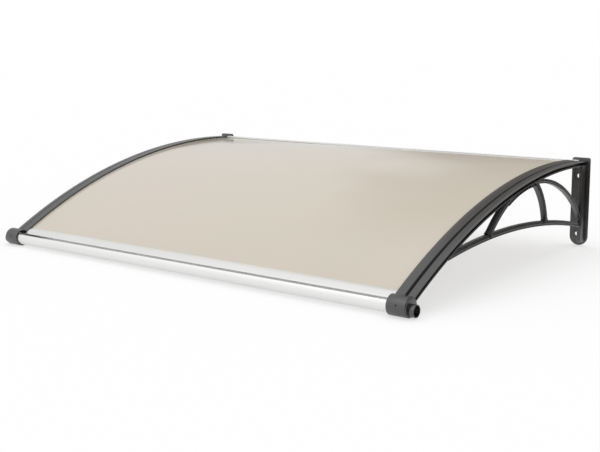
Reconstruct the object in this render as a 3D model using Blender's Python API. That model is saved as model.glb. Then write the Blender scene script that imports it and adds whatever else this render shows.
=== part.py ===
"""Door canopy: a bent plastic sheet on two moulded arch brackets, with a front gutter bar and a rear bar.

Metres, +Z up. The wall is the plane at the greatest Y, the canopy reaches forward to -Y, and the
origin is at the middle of the bottom. The canopy stands on its wall plates and its front collars.
"""

import math

import bmesh
import bpy
from mathutils import Vector

# Overall sizes
WIDTH = 1.200               # outer end to outer end of the front collars' caps
DEPTH = 0.8315              # wall to the front of the collars
FIT = 0.0003                # clearance between pieces that touch

# Front collars, which close the gutter's ends
COLLAR_RADIUS = 0.0206
COLLAR_LENGTH = 0.0406
COLLAR_CHAMFER = 0.0008
CAP_THICKNESS = 0.0018
CAP_INSET = 0.0011          # the cap's rim is this much smaller than the collar
CAP_CHAMFER = 0.0008
PLUG_LENGTH = 0.0068
DRAIN_RADIUS = 0.0108
DRAIN_FLOOR = 0.0009        # the plug's wall below the drain
SPIGOT_WALL = 0.0018
SPIGOT_LENGTH = 0.0117

# Arch: the line of the rails' flat top, an arc seen from the side
ARCH_RADIUS = 1.4095
ARCH_WALL_Z = 0.2101        # height at the wall
ARCH_OVER_AXIS = 0.0080     # height above the collar's axis at the front
ARCH_STATIONS = 32

# Rail section: across from its inner edge, and up from its flat top
RAIL_INSET = 0.0005         # the rail's outer side lies this far inside the collar's outer end
RAIL_WIDTH = 0.0433
RAIL_HEIGHT = 0.0135
EDGE_ROUND = 0.0012
RIDGE_OFFSET = 0.0141
RIDGE_HEIGHT = 0.0030
LAP_EDGE_HEIGHT = 0.0010
GROOVE_OFFSET = 0.0173
GROOVE_WIDTH = 0.0028
GROOVE_DEPTH = 0.0013
GROOVE_FLANK = 0.0016
FLANGE_THICKNESS = 0.0034
WEB_INSET = 0.0035          # web's outer face, in from the rail's outer side
WEB_THICKNESS = 0.0041
BEAD = 0.0012
JAW_THICKNESS = 0.0026
JAW_INSET = 0.0060
SLOT_WALL = 0.0030

# Sheet
SHEET_THICKNESS = 0.0040
SHEET_DROP = 0.0028         # sheet's top below the rail's flat top
SHEET_ENTRY = 0.0214        # how far each long side goes into its rail

# Gutter bar at the front, a tube open at the top with a jaw for the sheet
GUTTER_RADIUS = 0.0171
GUTTER_WALL = 0.0014
GUTTER_LIP_ANGLE = 52.0     # the open lip's height round the tube, from straight forward
JAW_FRONT = 0.0075          # the jaw's closed end, behind the collar's axis
JAW_TOP_REACH = 0.0268
JAW_LOW_REACH = 0.0215
JAW_CUT_START = 95.0        # where the jaw is cut off the tube, up from straight forward
JAW_CUT_SWEEP = 80.0
JAW_TRACE = 0.00005         # what the cut leaves of the jaw on the tube
BAR_WALL = 0.0015
BAR_ROUND = 0.0006

# Rear bar
REAR_DEPTH = 0.0340
REAR_LOW_DEPTH = 0.0240
REAR_UPSTAND = 0.0034       # above the sheet's top
REAR_LEG = 0.0110           # below the sheet's underside

# Wall plates
PLATE_WIDTH = 0.0452
PLATE_OVER_RAIL = 0.0071    # the plate's top above the rail's flat top
PLATE_THICKNESS = 0.0050
PLATE_OUTSET = 0.0058       # beyond the rail's outer side
PLATE_CORNER = 0.0050
RIB_DEPTH = 0.0285          # in front of the plate
RIB_WIDTH = 0.0091
RIB_FOOT = 0.0110
RIB_ROUND = 0.0090
RIB_INSET = 0.0002          # in from the rail's outer side
HOLE_RADIUS = 0.0052
HOLE_OFFSET = 0.0180        # from the plate's inner edge
HOLE_TOP_DROP = 0.0452      # below the plate's top
HOLE_LOW_Z = 0.0277
BOSS_RADIUS = 0.0105
BOSS_HEIGHT = 0.0018
BOSS_CHAMFER = 0.0009
BOSS_SINK = 0.0010
POCKET_DEPTH = 0.0016
POCKET_RADIUS = 0.0105
POCKET_RISE = 0.0180        # above the upper hole
DIMPLE_RADIUS = 0.0017
DIMPLE_DEPTH = 0.0016
DIMPLE_DROP = 0.0583        # below the upper hole

# Openwork below the rail: a tie and three struts
STRUT_WIDTH = 0.0122
STRUT_INSET = 0.0013        # in from the rail's outer side
STRUT_BEVEL = 0.0022
STRUT_SINK = 0.0098         # how far into the rail the ends go, from its flat top
FOOT_SINK = 0.0066          # how far the third strut's foot goes into the rib
FLARE = 0.0035              # widening of each end, on each side
FLARE_REACH = 0.0140
STRUT_STEPS = 16
TIE_STEPS = 26
TIE_THICKNESS = 0.0115
TIE_WALL_Z = 0.0484
TIE_FRONT = 0.6738          # forward of the wall
TIE_RISE = 0.0314
STRUT_1_THICKNESS = 0.0126
STRUT_1_FOOT = 0.5019
STRUT_1_HEAD = 0.3800
STRUT_1_BOW = 0.0095
STRUT_2_THICKNESS = 0.0144
STRUT_2_FOOT = 0.2241
STRUT_2_HEAD = 0.2896
STRUT_2_BOW = 0.0131
STRUT_3_THICKNESS = 0.0101
STRUT_3_FOOT_Z = 0.0758
STRUT_3_HEAD = 0.3229
STRUT_3_BOW = 0.0389

# Fixing screws through the collars
SCREW_RADIUS = 0.0012
SCREW_TIP_RADIUS = 0.0006
SCREW_TIP_LENGTH = 0.0009
SCREW_HEAD_RADIUS = 0.0020
SCREW_HEAD_HEIGHT = 0.0010
SCREW_HEAD_CHAMFER = 0.0004
SCREW_ANGLE = 14.0          # above straight forward

ROUND_STEPS = 48
SMALL_ROUND_STEPS = 24
TINY_ROUND_STEPS = 12
BAR_ARC_STEPS = 30
CORNER_STEPS = 3
BISECTIONS = 40
SHARP_ANGLE = math.radians(32.0)
OVERRUN = 0.0040            # how far a cutter runs past what it cuts

# Places worked out from the sizes
WALL_Y = DEPTH / 2
AXIS_FORWARD = DEPTH - COLLAR_RADIUS
AXIS = Vector((AXIS_FORWARD, COLLAR_RADIUS))
CAP_OUTER_X = WIDTH / 2
COLLAR_OUTER_X = CAP_OUTER_X - CAP_THICKNESS - FIT
COLLAR_INNER_X = COLLAR_OUTER_X - COLLAR_LENGTH
COLLAR_BORE = GUTTER_RADIUS + FIT
RAIL_OUTER_X = COLLAR_OUTER_X - RAIL_INSET
RAIL_INNER_X = RAIL_OUTER_X - RAIL_WIDTH
STRUT_X = RAIL_OUTER_X - STRUT_INSET - STRUT_WIDTH / 2
PLATE_OUTER_X = RAIL_OUTER_X + PLATE_OUTSET
PLATE_INNER_X = PLATE_OUTER_X - PLATE_WIDTH
PLATE_HEIGHT = ARCH_WALL_Z + PLATE_OVER_RAIL
HOLE_X = PLATE_INNER_X + HOLE_OFFSET
HOLE_TOP_Z = PLATE_HEIGHT - HOLE_TOP_DROP
SHEET_EDGE_X = RAIL_INNER_X + SHEET_ENTRY
SHEET_TOP = -SHEET_DROP
SHEET_UNDER = SHEET_TOP - SHEET_THICKNESS
SLOT_TOP = SHEET_TOP + FIT
SLOT_UNDER = SHEET_UNDER - FIT
JAW_UNDER = SLOT_UNDER - JAW_THICKNESS
REAR_BACK = PLATE_THICKNESS + FIT
NOTCH_FORWARD = REAR_DEPTH + FIT
BAR_INNER_X = RAIL_INNER_X - FIT
GUTTER_END_X = COLLAR_OUTER_X - PLUG_LENGTH - FIT
CAP_RADIUS = COLLAR_RADIUS - CAP_INSET
PLUG_RADIUS = COLLAR_BORE - FIT
DRAIN_CENTRE = AXIS - Vector((0.0, PLUG_RADIUS - DRAIN_RADIUS - DRAIN_FLOOR))


class Arch:
    """The arc of the rails' flat top, from the wall to the front collars' axis."""

    def __init__(self):
        wall = Vector((0.0, ARCH_WALL_Z))
        front = AXIS + Vector((0.0, ARCH_OVER_AXIS))
        chord = front - wall
        half = chord.length / 2
        to_centre = Vector((chord.y, -chord.x)).normalized()
        self.centre = (wall + front) / 2 + to_centre * math.sqrt(ARCH_RADIUS ** 2 - half ** 2)

    def angle(self, forward):
        """The arc's angle from straight up, at a distance forward of the wall."""
        return math.asin((forward - self.centre.x) / ARCH_RADIUS)

    def side(self, forward, lift=0.0):
        """Forward distance and height of a point lifted square off the arc."""
        turn = self.angle(forward)
        reach = ARCH_RADIUS + lift
        return Vector((self.centre.x + reach * math.sin(turn), self.centre.y + reach * math.cos(turn)))

    def stations(self, forward_from, forward_to):
        """Distances forward of the wall that divide a stretch of the arc evenly."""
        start = self.angle(forward_from)
        end = self.angle(forward_to)
        turns = [start + (end - start) * index / ARCH_STATIONS for index in range(ARCH_STATIONS + 1)]
        return [self.centre.x + ARCH_RADIUS * math.sin(turn) for turn in turns]


ARCH = Arch()


def place(x, side_point):
    """World point from a sideways place and a (forward, height) pair."""
    return Vector((x, WALL_Y - side_point[0], side_point[1]))


def clear_scene():
    for thing in list(bpy.data.objects):
        bpy.data.objects.remove(thing, do_unlink=True)


def material(name, color, roughness, metallic=0.0):
    """A Principled material, made once for each name."""
    made = bpy.data.materials.get(name) or bpy.data.materials.new(name)
    made.use_nodes = True
    shader = made.node_tree.nodes["Principled BSDF"]
    shader.inputs["Base Color"].default_value = (*color, 1.0)
    shader.inputs["Roughness"].default_value = roughness
    shader.inputs["Metallic"].default_value = metallic
    made.diffuse_color = (*color, 1.0)
    return made


def black_plastic():
    return material("black_plastic", (0.022, 0.022, 0.024), 0.32)


def beige_sheet():
    return material("tinted_sheet", (0.62, 0.55, 0.47), 0.12)


def bare_aluminium():
    return material("aluminium", (0.80, 0.81, 0.82), 0.28, 1.0)


def zinc_steel():
    return material("screw_steel", (0.10, 0.10, 0.11), 0.40, 1.0)


def finish(name, bm, paint):
    """Turns a bmesh into a smooth-shaded object with sharp corners kept."""
    bmesh.ops.recalc_face_normals(bm, faces=bm.faces)
    mesh = bpy.data.meshes.new(name)
    bm.to_mesh(mesh)
    bm.free()
    mesh.materials.append(paint)
    mesh.shade_smooth()
    mesh.set_sharp_from_angle(angle=SHARP_ANGLE)
    made = bpy.data.objects.new(name, mesh)
    bpy.context.scene.collection.objects.link(made)
    return made


def loft(name, loops, paint, closed=False):
    """A closed solid through loops of points, capped at both ends unless it closes on itself."""
    bm = bmesh.new()
    rows = [[bm.verts.new(point) for point in loop] for loop in loops]
    pairs = list(zip(rows, rows[1:]))
    if closed:
        pairs.append((rows[-1], rows[0]))
    for first, second in pairs:
        for index in range(len(first)):
            after = (index + 1) % len(first)
            bm.faces.new((first[index], first[after], second[after], second[index]))
    if not closed:
        bm.faces.new(rows[0])
        bm.faces.new(list(reversed(rows[-1])))
    return finish(name, bm, paint)


def prism_x(name, outline, x_from, x_to, paint):
    """A side outline of (forward, height) points, extruded from one sideways place to another."""
    return loft(name, [[place(x, point) for point in outline] for x in (x_from, x_to)], paint)


def prism_forward(name, outline, forward_from, forward_to, paint):
    """A front outline of (x, height) points, extruded forward from the wall."""
    loops = [[place(x, (forward, z)) for x, z in outline] for forward in (forward_from, forward_to)]
    return loft(name, loops, paint)


def ring(centre, radius, steps, start=-90.0, sweep=360.0):
    """Points round a circle; a full turn leaves out the repeated last point."""
    count = steps if sweep == 360.0 else steps + 1
    turns = [math.radians(start + sweep * index / steps) for index in range(count)]
    return [(centre[0] + radius * math.cos(turn), centre[1] + radius * math.sin(turn)) for turn in turns]


def rounded(corners):
    """Points of an outline from (corner, radius) pairs, each corner turned into an arc."""
    outline = []
    for index, (corner, radius) in enumerate(corners):
        corner = Vector(corner)
        if not radius:
            outline.append(corner)
            continue
        before = (Vector(corners[index - 1][0]) - corner).normalized()
        after = (Vector(corners[(index + 1) % len(corners)][0]) - corner).normalized()
        half = before.angle(after) / 2
        centre = corner + (before + after).normalized() * radius / math.sin(half)
        start = corner + before * radius / math.tan(half) - centre
        end = corner + after * radius / math.tan(half) - centre
        for step in range(CORNER_STEPS + 1):
            outline.append(centre + start.lerp(end, step / CORNER_STEPS).normalized() * radius)
    return outline


def turned_x(name, side, profile, centre, paint, steps=ROUND_STEPS):
    """A solid turned about a sideways axis from (x, radius) points, at a (forward, height) centre."""
    loops = [[place(side * x, point) for point in ring(centre, radius, steps)] for x, radius in profile]
    return loft(name, loops, paint)


def turned_forward(name, x, z, profile, paint, steps=SMALL_ROUND_STEPS):
    """A solid turned about an axis square to the wall, from (forward, radius) points."""
    loops = []
    for forward, radius in profile:
        loops.append([place(px, (forward, pz)) for px, pz in ring((x, z), radius, steps)])
    return loft(name, loops, paint)


def combine(target, other, operation):
    """Adds or cuts one object with another, which stays in the file as a guide."""
    other.hide_render = True
    other.display_type = "WIRE"
    step = target.modifiers.new(other.name, "BOOLEAN")
    step.operation = operation
    step.solver = "EXACT"
    step.object = other
    return target


def rail_section():
    """The rail's section as (from the inner edge, above the flat top), before its slot is cut."""
    web_outer = RAIL_WIDTH - WEB_INSET
    web_inner = web_outer - WEB_THICKNESS
    slot_wall = SHEET_ENTRY + FIT + SLOT_WALL
    groove_end = GROOVE_OFFSET + GROOVE_WIDTH
    return rounded([
        ((0.0, (SLOT_TOP + SLOT_UNDER) / 2), 0.0),
        ((0.0, LAP_EDGE_HEIGHT), EDGE_ROUND),
        ((RIDGE_OFFSET, RIDGE_HEIGHT), EDGE_ROUND),
        ((GROOVE_OFFSET, -GROOVE_DEPTH), 0.0),
        ((groove_end, -GROOVE_DEPTH), 0.0),
        ((groove_end + GROOVE_FLANK, 0.0), 0.0),
        ((RAIL_WIDTH, 0.0), EDGE_ROUND),
        ((RAIL_WIDTH, -FLANGE_THICKNESS), EDGE_ROUND),
        ((web_outer, -FLANGE_THICKNESS), 0.0),
        ((web_outer, -RAIL_HEIGHT + 2 * BEAD), 0.0),
        ((web_outer + BEAD, -RAIL_HEIGHT + BEAD), 0.0),
        ((web_outer, -RAIL_HEIGHT), 0.0),
        ((web_inner, -RAIL_HEIGHT), 0.0),
        ((web_inner, -FLANGE_THICKNESS), 0.0),
        ((slot_wall, -FLANGE_THICKNESS), 0.0),
        ((slot_wall, JAW_UNDER), 0.0),
        ((JAW_INSET, JAW_UNDER), 0.0),
    ])


def swept_section(name, side, section, forward_from, forward_to, paint):
    """A section carried along the arch between two distances from the wall."""
    loops = []
    for forward in ARCH.stations(forward_from, forward_to):
        loop = [place(side * (RAIL_INNER_X + across), ARCH.side(forward, up)) for across, up in section]
        loops.append(loop)
    return loft(name, loops, paint)


def bowed_line(start, end, bow, steps):
    """Points along a circular arc between two side points that bows out by a distance."""
    chord = end - start
    half = chord.length / 2
    along = chord.normalized()
    out = Vector((-along.y, along.x))
    if bow < 0:
        out = -out
    radius = (half ** 2 + bow ** 2) / (2 * abs(bow))
    spread = math.asin(half / radius)
    centre = (start + end) / 2 - out * (radius - abs(bow))
    points = []
    for index in range(steps + 1):
        turn = spread * (2 * index / steps - 1)
        points.append(centre + along * (radius * math.sin(turn)) + out * (radius * math.cos(turn)))
    return points


def flared(distance):
    """Extra half thickness near an end of a strut."""
    if distance >= FLARE_REACH:
        return 0.0
    return FLARE * (1 - distance / FLARE_REACH) ** 2


def strut(name, side, line, thickness, flare_start, flare_end):
    """A strut with bevelled corners along a side line, wider where it flows into its neighbours."""
    total = sum((after - before).length for before, after in zip(line, line[1:]))
    loops = []
    gone = 0.0
    for index, point in enumerate(line):
        before = line[max(index - 1, 0)]
        after = line[min(index + 1, len(line) - 1)]
        along = (after - before).normalized()
        out = Vector((-along.y, along.x))
        if index:
            gone += (point - before).length
        half = thickness / 2
        half += flared(gone) if flare_start else 0.0
        half += flared(total - gone) if flare_end else 0.0
        wide = STRUT_WIDTH / 2
        corners = [
            (-wide, -half + STRUT_BEVEL), (-wide, half - STRUT_BEVEL),
            (-wide + STRUT_BEVEL, half), (wide - STRUT_BEVEL, half),
            (wide, half - STRUT_BEVEL), (wide, -half + STRUT_BEVEL),
            (wide - STRUT_BEVEL, -half), (-wide + STRUT_BEVEL, -half),
        ]
        loops.append([place(side * (STRUT_X + across), point + out * up) for across, up in corners])
    return loft(name, loops, black_plastic())


def on_tie(tie_line, forward):
    """The point of the tie's line at a distance from the wall."""
    for before, after in zip(tie_line, tie_line[1:]):
        if before.x <= forward <= after.x:
            share = (forward - before.x) / (after.x - before.x)
            return before.lerp(after, share)
    return tie_line[-1]


def openwork(tag, side):
    """The tie and the three struts of one bracket."""
    into_plate = PLATE_THICKNESS / 2
    tie_line = bowed_line(
        Vector((into_plate, TIE_WALL_Z)), ARCH.side(TIE_FRONT, -STRUT_SINK), TIE_RISE, TIE_STEPS)
    first = bowed_line(
        on_tie(tie_line, STRUT_1_FOOT), ARCH.side(STRUT_1_HEAD, -STRUT_SINK), -STRUT_1_BOW, STRUT_STEPS)
    second = bowed_line(
        on_tie(tie_line, STRUT_2_FOOT), ARCH.side(STRUT_2_HEAD, -STRUT_SINK), STRUT_2_BOW, STRUT_STEPS)
    rib_front = PLATE_THICKNESS + RIB_DEPTH
    third = bowed_line(
        Vector((rib_front - FOOT_SINK, STRUT_3_FOOT_Z)), ARCH.side(STRUT_3_HEAD, -STRUT_SINK),
        STRUT_3_BOW, STRUT_STEPS)
    return [
        strut(f"tie_{tag}", side, tie_line, TIE_THICKNESS, True, False),
        strut(f"strut_1_{tag}", side, first, STRUT_1_THICKNESS, True, False),
        strut(f"strut_2_{tag}", side, second, STRUT_2_THICKNESS, True, False),
        strut(f"strut_3_{tag}", side, third, STRUT_3_THICKNESS, True, False),
    ]


def plate_outline():
    """The wall plate from the front: round at the foot, small round corners at the top."""
    half = PLATE_WIDTH / 2
    middle = PLATE_INNER_X + half
    corner_z = PLATE_HEIGHT - PLATE_CORNER
    foot = ring((middle, half), half, ROUND_STEPS // 2, 180.0, 180.0)
    right = ring((PLATE_OUTER_X - PLATE_CORNER, corner_z), PLATE_CORNER, CORNER_STEPS, 0.0, 90.0)
    left = ring((PLATE_INNER_X + PLATE_CORNER, corner_z), PLATE_CORNER, CORNER_STEPS, 90.0, 90.0)
    return foot + right + left


def wall_plate(tag, side):
    outline = [(side * x, z) for x, z in plate_outline()]
    return prism_forward(f"plate_{tag}", outline, 0.0, PLATE_THICKNESS, black_plastic())


def plate_rib(tag, side):
    """The upright rib on the plate, flush with the rail's outer side."""
    inside = PLATE_THICKNESS / 2
    front = PLATE_THICKNESS + RIB_DEPTH
    top = ARCH.side(inside, -(FLANGE_THICKNESS + RAIL_HEIGHT) / 2).y
    outline = rounded([
        ((inside, RIB_FOOT), 0.0), ((front, RIB_FOOT), RIB_ROUND), ((front, top), 0.0), ((inside, top), 0.0),
    ])
    x_to = RAIL_OUTER_X - RIB_INSET
    return prism_x(f"rib_{tag}", outline, side * (x_to - RIB_WIDTH), side * x_to, black_plastic())


def hole_boss(tag, side):
    """The raised ring round the lower screw hole."""
    profile = [
        (PLATE_THICKNESS - BOSS_SINK, BOSS_RADIUS),
        (PLATE_THICKNESS + BOSS_HEIGHT - BOSS_CHAMFER, BOSS_RADIUS),
        (PLATE_THICKNESS + BOSS_HEIGHT, BOSS_RADIUS - BOSS_CHAMFER),
    ]
    return turned_forward(f"boss_{tag}", side * HOLE_X, HOLE_LOW_Z, profile, black_plastic())


def collar(tag, side):
    """The round collar at the rail's front end, solid until its bore is cut."""
    profile = [
        (COLLAR_INNER_X, COLLAR_RADIUS - COLLAR_CHAMFER), (COLLAR_INNER_X + COLLAR_CHAMFER, COLLAR_RADIUS),
        (COLLAR_OUTER_X - COLLAR_CHAMFER, COLLAR_RADIUS), (COLLAR_OUTER_X, COLLAR_RADIUS - COLLAR_CHAMFER),
    ]
    return turned_x(f"collar_{tag}", side, profile, AXIS, black_plastic())


def bore_cutter(tag, side):
    profile = [(RAIL_INNER_X - OVERRUN, COLLAR_BORE), (COLLAR_OUTER_X + OVERRUN, COLLAR_BORE)]
    return turned_x(f"bore_cut_{tag}", side, profile, AXIS, black_plastic())


def slot_cutter(tag, side):
    """The space in the rail and the collar that the sheet slides into."""
    section = [
        (-OVERRUN, SLOT_UNDER), (SHEET_ENTRY + FIT, SLOT_UNDER),
        (SHEET_ENTRY + FIT, SLOT_TOP), (-OVERRUN, SLOT_TOP),
    ]
    return swept_section(
        f"slot_cut_{tag}", side, section, -OVERRUN, AXIS_FORWARD + OVERRUN, black_plastic())


def notch_cutter(tag, side):
    """The space at the wall end of the rail that the rear bar's end fills."""
    low = ARCH.side(0.0, SHEET_UNDER - REAR_LEG).y - OVERRUN
    high = PLATE_HEIGHT + OVERRUN
    outline = [
        (PLATE_THICKNESS, low), (NOTCH_FORWARD, low), (NOTCH_FORWARD, high), (PLATE_THICKNESS, high),
    ]
    x_from = RAIL_INNER_X - OVERRUN
    x_to = RAIL_INNER_X + SHEET_ENTRY + FIT
    return prism_x(f"notch_cut_{tag}", outline, side * x_from, side * x_to, black_plastic())


def edge_cutter(tag, side):
    """Trims the rail's inner edge where it would stand out beside the plate."""
    low = ARCH.side(0.0, -RAIL_HEIGHT).y - OVERRUN
    high = PLATE_HEIGHT + OVERRUN
    outline = [(0.0, low), (NOTCH_FORWARD - OVERRUN, low), (NOTCH_FORWARD - OVERRUN, high), (0.0, high)]
    x_from = min(RAIL_INNER_X, PLATE_INNER_X) - OVERRUN
    return prism_x(f"edge_cut_{tag}", outline, side * x_from, side * PLATE_INNER_X, black_plastic())


def hole_cutter(tag, side, z):
    profile = [(-OVERRUN, HOLE_RADIUS), (PLATE_THICKNESS + BOSS_HEIGHT + OVERRUN, HOLE_RADIUS)]
    return turned_forward(f"hole_cut_{tag}", side * HOLE_X, z, profile, black_plastic())


def pocket_cutter(tag, side):
    """The shallow pocket round the upper screw hole, round at the bottom."""
    low = ring((side * HOLE_X, HOLE_TOP_Z), POCKET_RADIUS, SMALL_ROUND_STEPS // 2, 180.0, 180.0)
    right = side * HOLE_X + POCKET_RADIUS
    left = side * HOLE_X - POCKET_RADIUS
    high = HOLE_TOP_Z + POCKET_RISE
    outline = low + [(right, high), (left, high)]
    return prism_forward(
        f"pocket_cut_{tag}", outline, PLATE_THICKNESS - POCKET_DEPTH, PLATE_THICKNESS + OVERRUN,
        black_plastic())


def dimple_cutter(tag, side):
    profile = [(PLATE_THICKNESS - DIMPLE_DEPTH, DIMPLE_RADIUS), (PLATE_THICKNESS + OVERRUN, DIMPLE_RADIUS)]
    z = HOLE_TOP_Z - DIMPLE_DROP
    return turned_forward(f"dimple_cut_{tag}", side * HOLE_X, z, profile, black_plastic(), TINY_ROUND_STEPS)


def screw_place():
    """Middle of the collar's front, with the direction straight out of it as (forward, up)."""
    turn = math.radians(SCREW_ANGLE)
    return (COLLAR_INNER_X + COLLAR_OUTER_X) / 2, Vector((math.cos(turn), math.sin(turn)))


def radial_turned(name, side, profile, paint):
    """A small solid turned about the screw's line, from (distance from the axis, radius) points."""
    x, out = screw_place()
    across = Vector((-out.y, out.x))
    loops = []
    for reach, radius in profile:
        loop = []
        for local in ring((0.0, 0.0), radius, TINY_ROUND_STEPS):
            loop.append(place(side * (x + local[0]), AXIS + out * reach + across * local[1]))
        loops.append(loop)
    return loft(name, loops, paint)


def screw_cutter(tag, side):
    seat = COLLAR_RADIUS - SCREW_HEAD_HEIGHT - FIT
    profile = [
        (COLLAR_BORE - FIT, SCREW_RADIUS + FIT), (seat, SCREW_RADIUS + FIT),
        (seat + FIT, SCREW_HEAD_RADIUS + FIT), (COLLAR_RADIUS + OVERRUN, SCREW_HEAD_RADIUS + FIT),
    ]
    return radial_turned(f"screw_cut_{tag}", side, profile, black_plastic())


def bracket(tag, side):
    """One moulded bracket: rail, plate, rib, openwork and collar in one piece."""
    body = swept_section(
        f"bracket_{tag}", side, rail_section(), PLATE_THICKNESS / 2, AXIS_FORWARD, black_plastic())
    additions = [wall_plate(tag, side), plate_rib(tag, side), hole_boss(tag, side), collar(tag, side)]
    additions += openwork(tag, side)
    for addition in additions:
        combine(body, addition, "UNION")
    cuts = [
        bore_cutter(tag, side), slot_cutter(tag, side), notch_cutter(tag, side), edge_cutter(tag, side),
        hole_cutter(f"top_{tag}", side, HOLE_TOP_Z), hole_cutter(f"low_{tag}", side, HOLE_LOW_Z),
        pocket_cutter(tag, side), dimple_cutter(tag, side), screw_cutter(tag, side),
    ]
    for cut in cuts:
        combine(body, cut, "DIFFERENCE")
    return body


def collar_screw(tag, side):
    """The self-tapping screw that holds the collar on the gutter."""
    profile = [
        (COLLAR_BORE + FIT, SCREW_TIP_RADIUS), (COLLAR_BORE + FIT + SCREW_TIP_LENGTH, SCREW_RADIUS),
        (COLLAR_RADIUS - SCREW_HEAD_HEIGHT, SCREW_RADIUS),
        (COLLAR_RADIUS - SCREW_HEAD_HEIGHT + FIT, SCREW_HEAD_RADIUS),
        (COLLAR_RADIUS - SCREW_HEAD_CHAMFER, SCREW_HEAD_RADIUS),
        (COLLAR_RADIUS, SCREW_HEAD_RADIUS - SCREW_HEAD_CHAMFER),
    ]
    return radial_turned(f"collar_screw_{tag}", side, profile, zinc_steel())


def canopy_sheet():
    """The bent sheet, held in both rails, the gutter bar and the rear bar."""
    rear = REAR_BACK + BAR_WALL + FIT
    front = AXIS_FORWARD - JAW_FRONT - BAR_WALL - FIT
    loops = []
    for forward in ARCH.stations(rear, front):
        top = ARCH.side(forward, SHEET_TOP)
        under = ARCH.side(forward, SHEET_UNDER)
        loops.append([
            place(-SHEET_EDGE_X, under), place(SHEET_EDGE_X, under),
            place(SHEET_EDGE_X, top), place(-SHEET_EDGE_X, top),
        ])
    return loft("canopy_sheet", loops, beige_sheet())


def turn_about_axis(point):
    """A side point's direction from the collars' axis, in degrees up from straight forward."""
    offset = point - AXIS
    turn = math.degrees(math.atan2(offset.y, offset.x))
    return turn if turn > 0 else turn + 360.0


def back_meeting(radius, lift):
    """Where a line along the arch leaves a circle about the collars' axis, towards the wall."""
    near = 0.0
    far = radius
    for _ in range(BISECTIONS):
        middle = (near + far) / 2
        point = ARCH.side(AXIS_FORWARD - middle, lift)
        if (point - AXIS).length < radius:
            near = middle
        else:
            far = middle
    return ARCH.side(AXIS_FORWARD - far, lift)


def gutter_outline():
    """The front bar's section: a tube open at the top, and a jaw that holds the sheet's front edge."""
    inner_radius = GUTTER_RADIUS - GUTTER_WALL
    jaw_under = SLOT_UNDER - BAR_WALL
    jaw_top = SLOT_TOP + BAR_WALL
    outer_meeting = back_meeting(GUTTER_RADIUS, jaw_under)
    inner_meeting = back_meeting(inner_radius, jaw_under)
    outer_sweep = turn_about_axis(outer_meeting) - 360.0 - GUTTER_LIP_ANGLE
    inner_turn = turn_about_axis(inner_meeting)
    outer = ring(AXIS, GUTTER_RADIUS, BAR_ARC_STEPS, GUTTER_LIP_ANGLE, outer_sweep)
    inner = ring(AXIS, inner_radius, BAR_ARC_STEPS, inner_turn, 360.0 + GUTTER_LIP_ANGLE - inner_turn)
    lip_centre = ring(AXIS, GUTTER_RADIUS - GUTTER_WALL / 2, 1, GUTTER_LIP_ANGLE, 1.0)[0]
    lip = ring(lip_centre, GUTTER_WALL / 2, CORNER_STEPS, GUTTER_LIP_ANGLE + 180.0, -180.0)[1:-1]
    closed_end = AXIS_FORWARD - JAW_FRONT - BAR_WALL
    front = AXIS_FORWARD - JAW_FRONT
    low_end = AXIS_FORWARD - JAW_LOW_REACH
    top_end = AXIS_FORWARD - JAW_TOP_REACH
    jaw = rounded([
        (ARCH.side(low_end, jaw_under), 0.0), (ARCH.side(low_end, SLOT_UNDER), 0.0),
        (ARCH.side(closed_end, SLOT_UNDER), 0.0), (ARCH.side(closed_end, SLOT_TOP), 0.0),
        (ARCH.side(top_end, SLOT_TOP), 0.0), (ARCH.side(top_end, jaw_top), BAR_ROUND),
        (ARCH.side(front, jaw_top), BAR_ROUND), (ARCH.side(front, jaw_under), 0.0),
    ])
    return outer + jaw + inner + lip


def gutter_bar():
    """The front bar; beyond the rails' inner edges only the tube goes on, into the collars."""
    bar = prism_x("gutter_bar", gutter_outline(), -GUTTER_END_X, GUTTER_END_X, bare_aluminium())
    inside = ring(AXIS, GUTTER_RADIUS + JAW_TRACE, BAR_ARC_STEPS, JAW_CUT_START, JAW_CUT_SWEEP)
    reach = COLLAR_RADIUS + JAW_TOP_REACH + OVERRUN
    outside = ring(AXIS, reach, CORNER_STEPS, JAW_CUT_START + JAW_CUT_SWEEP, -JAW_CUT_SWEEP)
    for tag, side in (("right", 1), ("left", -1)):
        cut = prism_x(
            f"jaw_cut_{tag}", inside + outside, side * BAR_INNER_X, side * (GUTTER_END_X + OVERRUN),
            bare_aluminium())
        combine(bar, cut, "DIFFERENCE")
    return bar


def rear_bar():
    """The bar along the wall that holds the sheet's rear edge."""
    leg_front = REAR_BACK + BAR_WALL
    leg_top = ARCH.side(REAR_BACK, SHEET_TOP + REAR_UPSTAND).y
    leg_foot = ARCH.side(REAR_BACK, SHEET_UNDER - REAR_LEG).y
    jaw_under = SLOT_UNDER - BAR_WALL
    jaw_top = SLOT_TOP + BAR_WALL
    outline = rounded([
        ((REAR_BACK, leg_foot), 0.0), ((leg_front, leg_foot), 0.0),
        (ARCH.side(leg_front, jaw_under), 0.0), (ARCH.side(REAR_LOW_DEPTH, jaw_under), 0.0),
        (ARCH.side(REAR_LOW_DEPTH, SLOT_UNDER), 0.0), (ARCH.side(leg_front, SLOT_UNDER), 0.0),
        (ARCH.side(leg_front, SLOT_TOP), 0.0), (ARCH.side(REAR_DEPTH, SLOT_TOP), 0.0),
        (ARCH.side(REAR_DEPTH, jaw_top), BAR_ROUND), (ARCH.side(leg_front, jaw_top), 0.0),
        ((leg_front, leg_top), 0.0), ((REAR_BACK, leg_top), 0.0),
    ])
    return prism_x("rear_bar", outline, -SHEET_EDGE_X, SHEET_EDGE_X, bare_aluminium())


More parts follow.
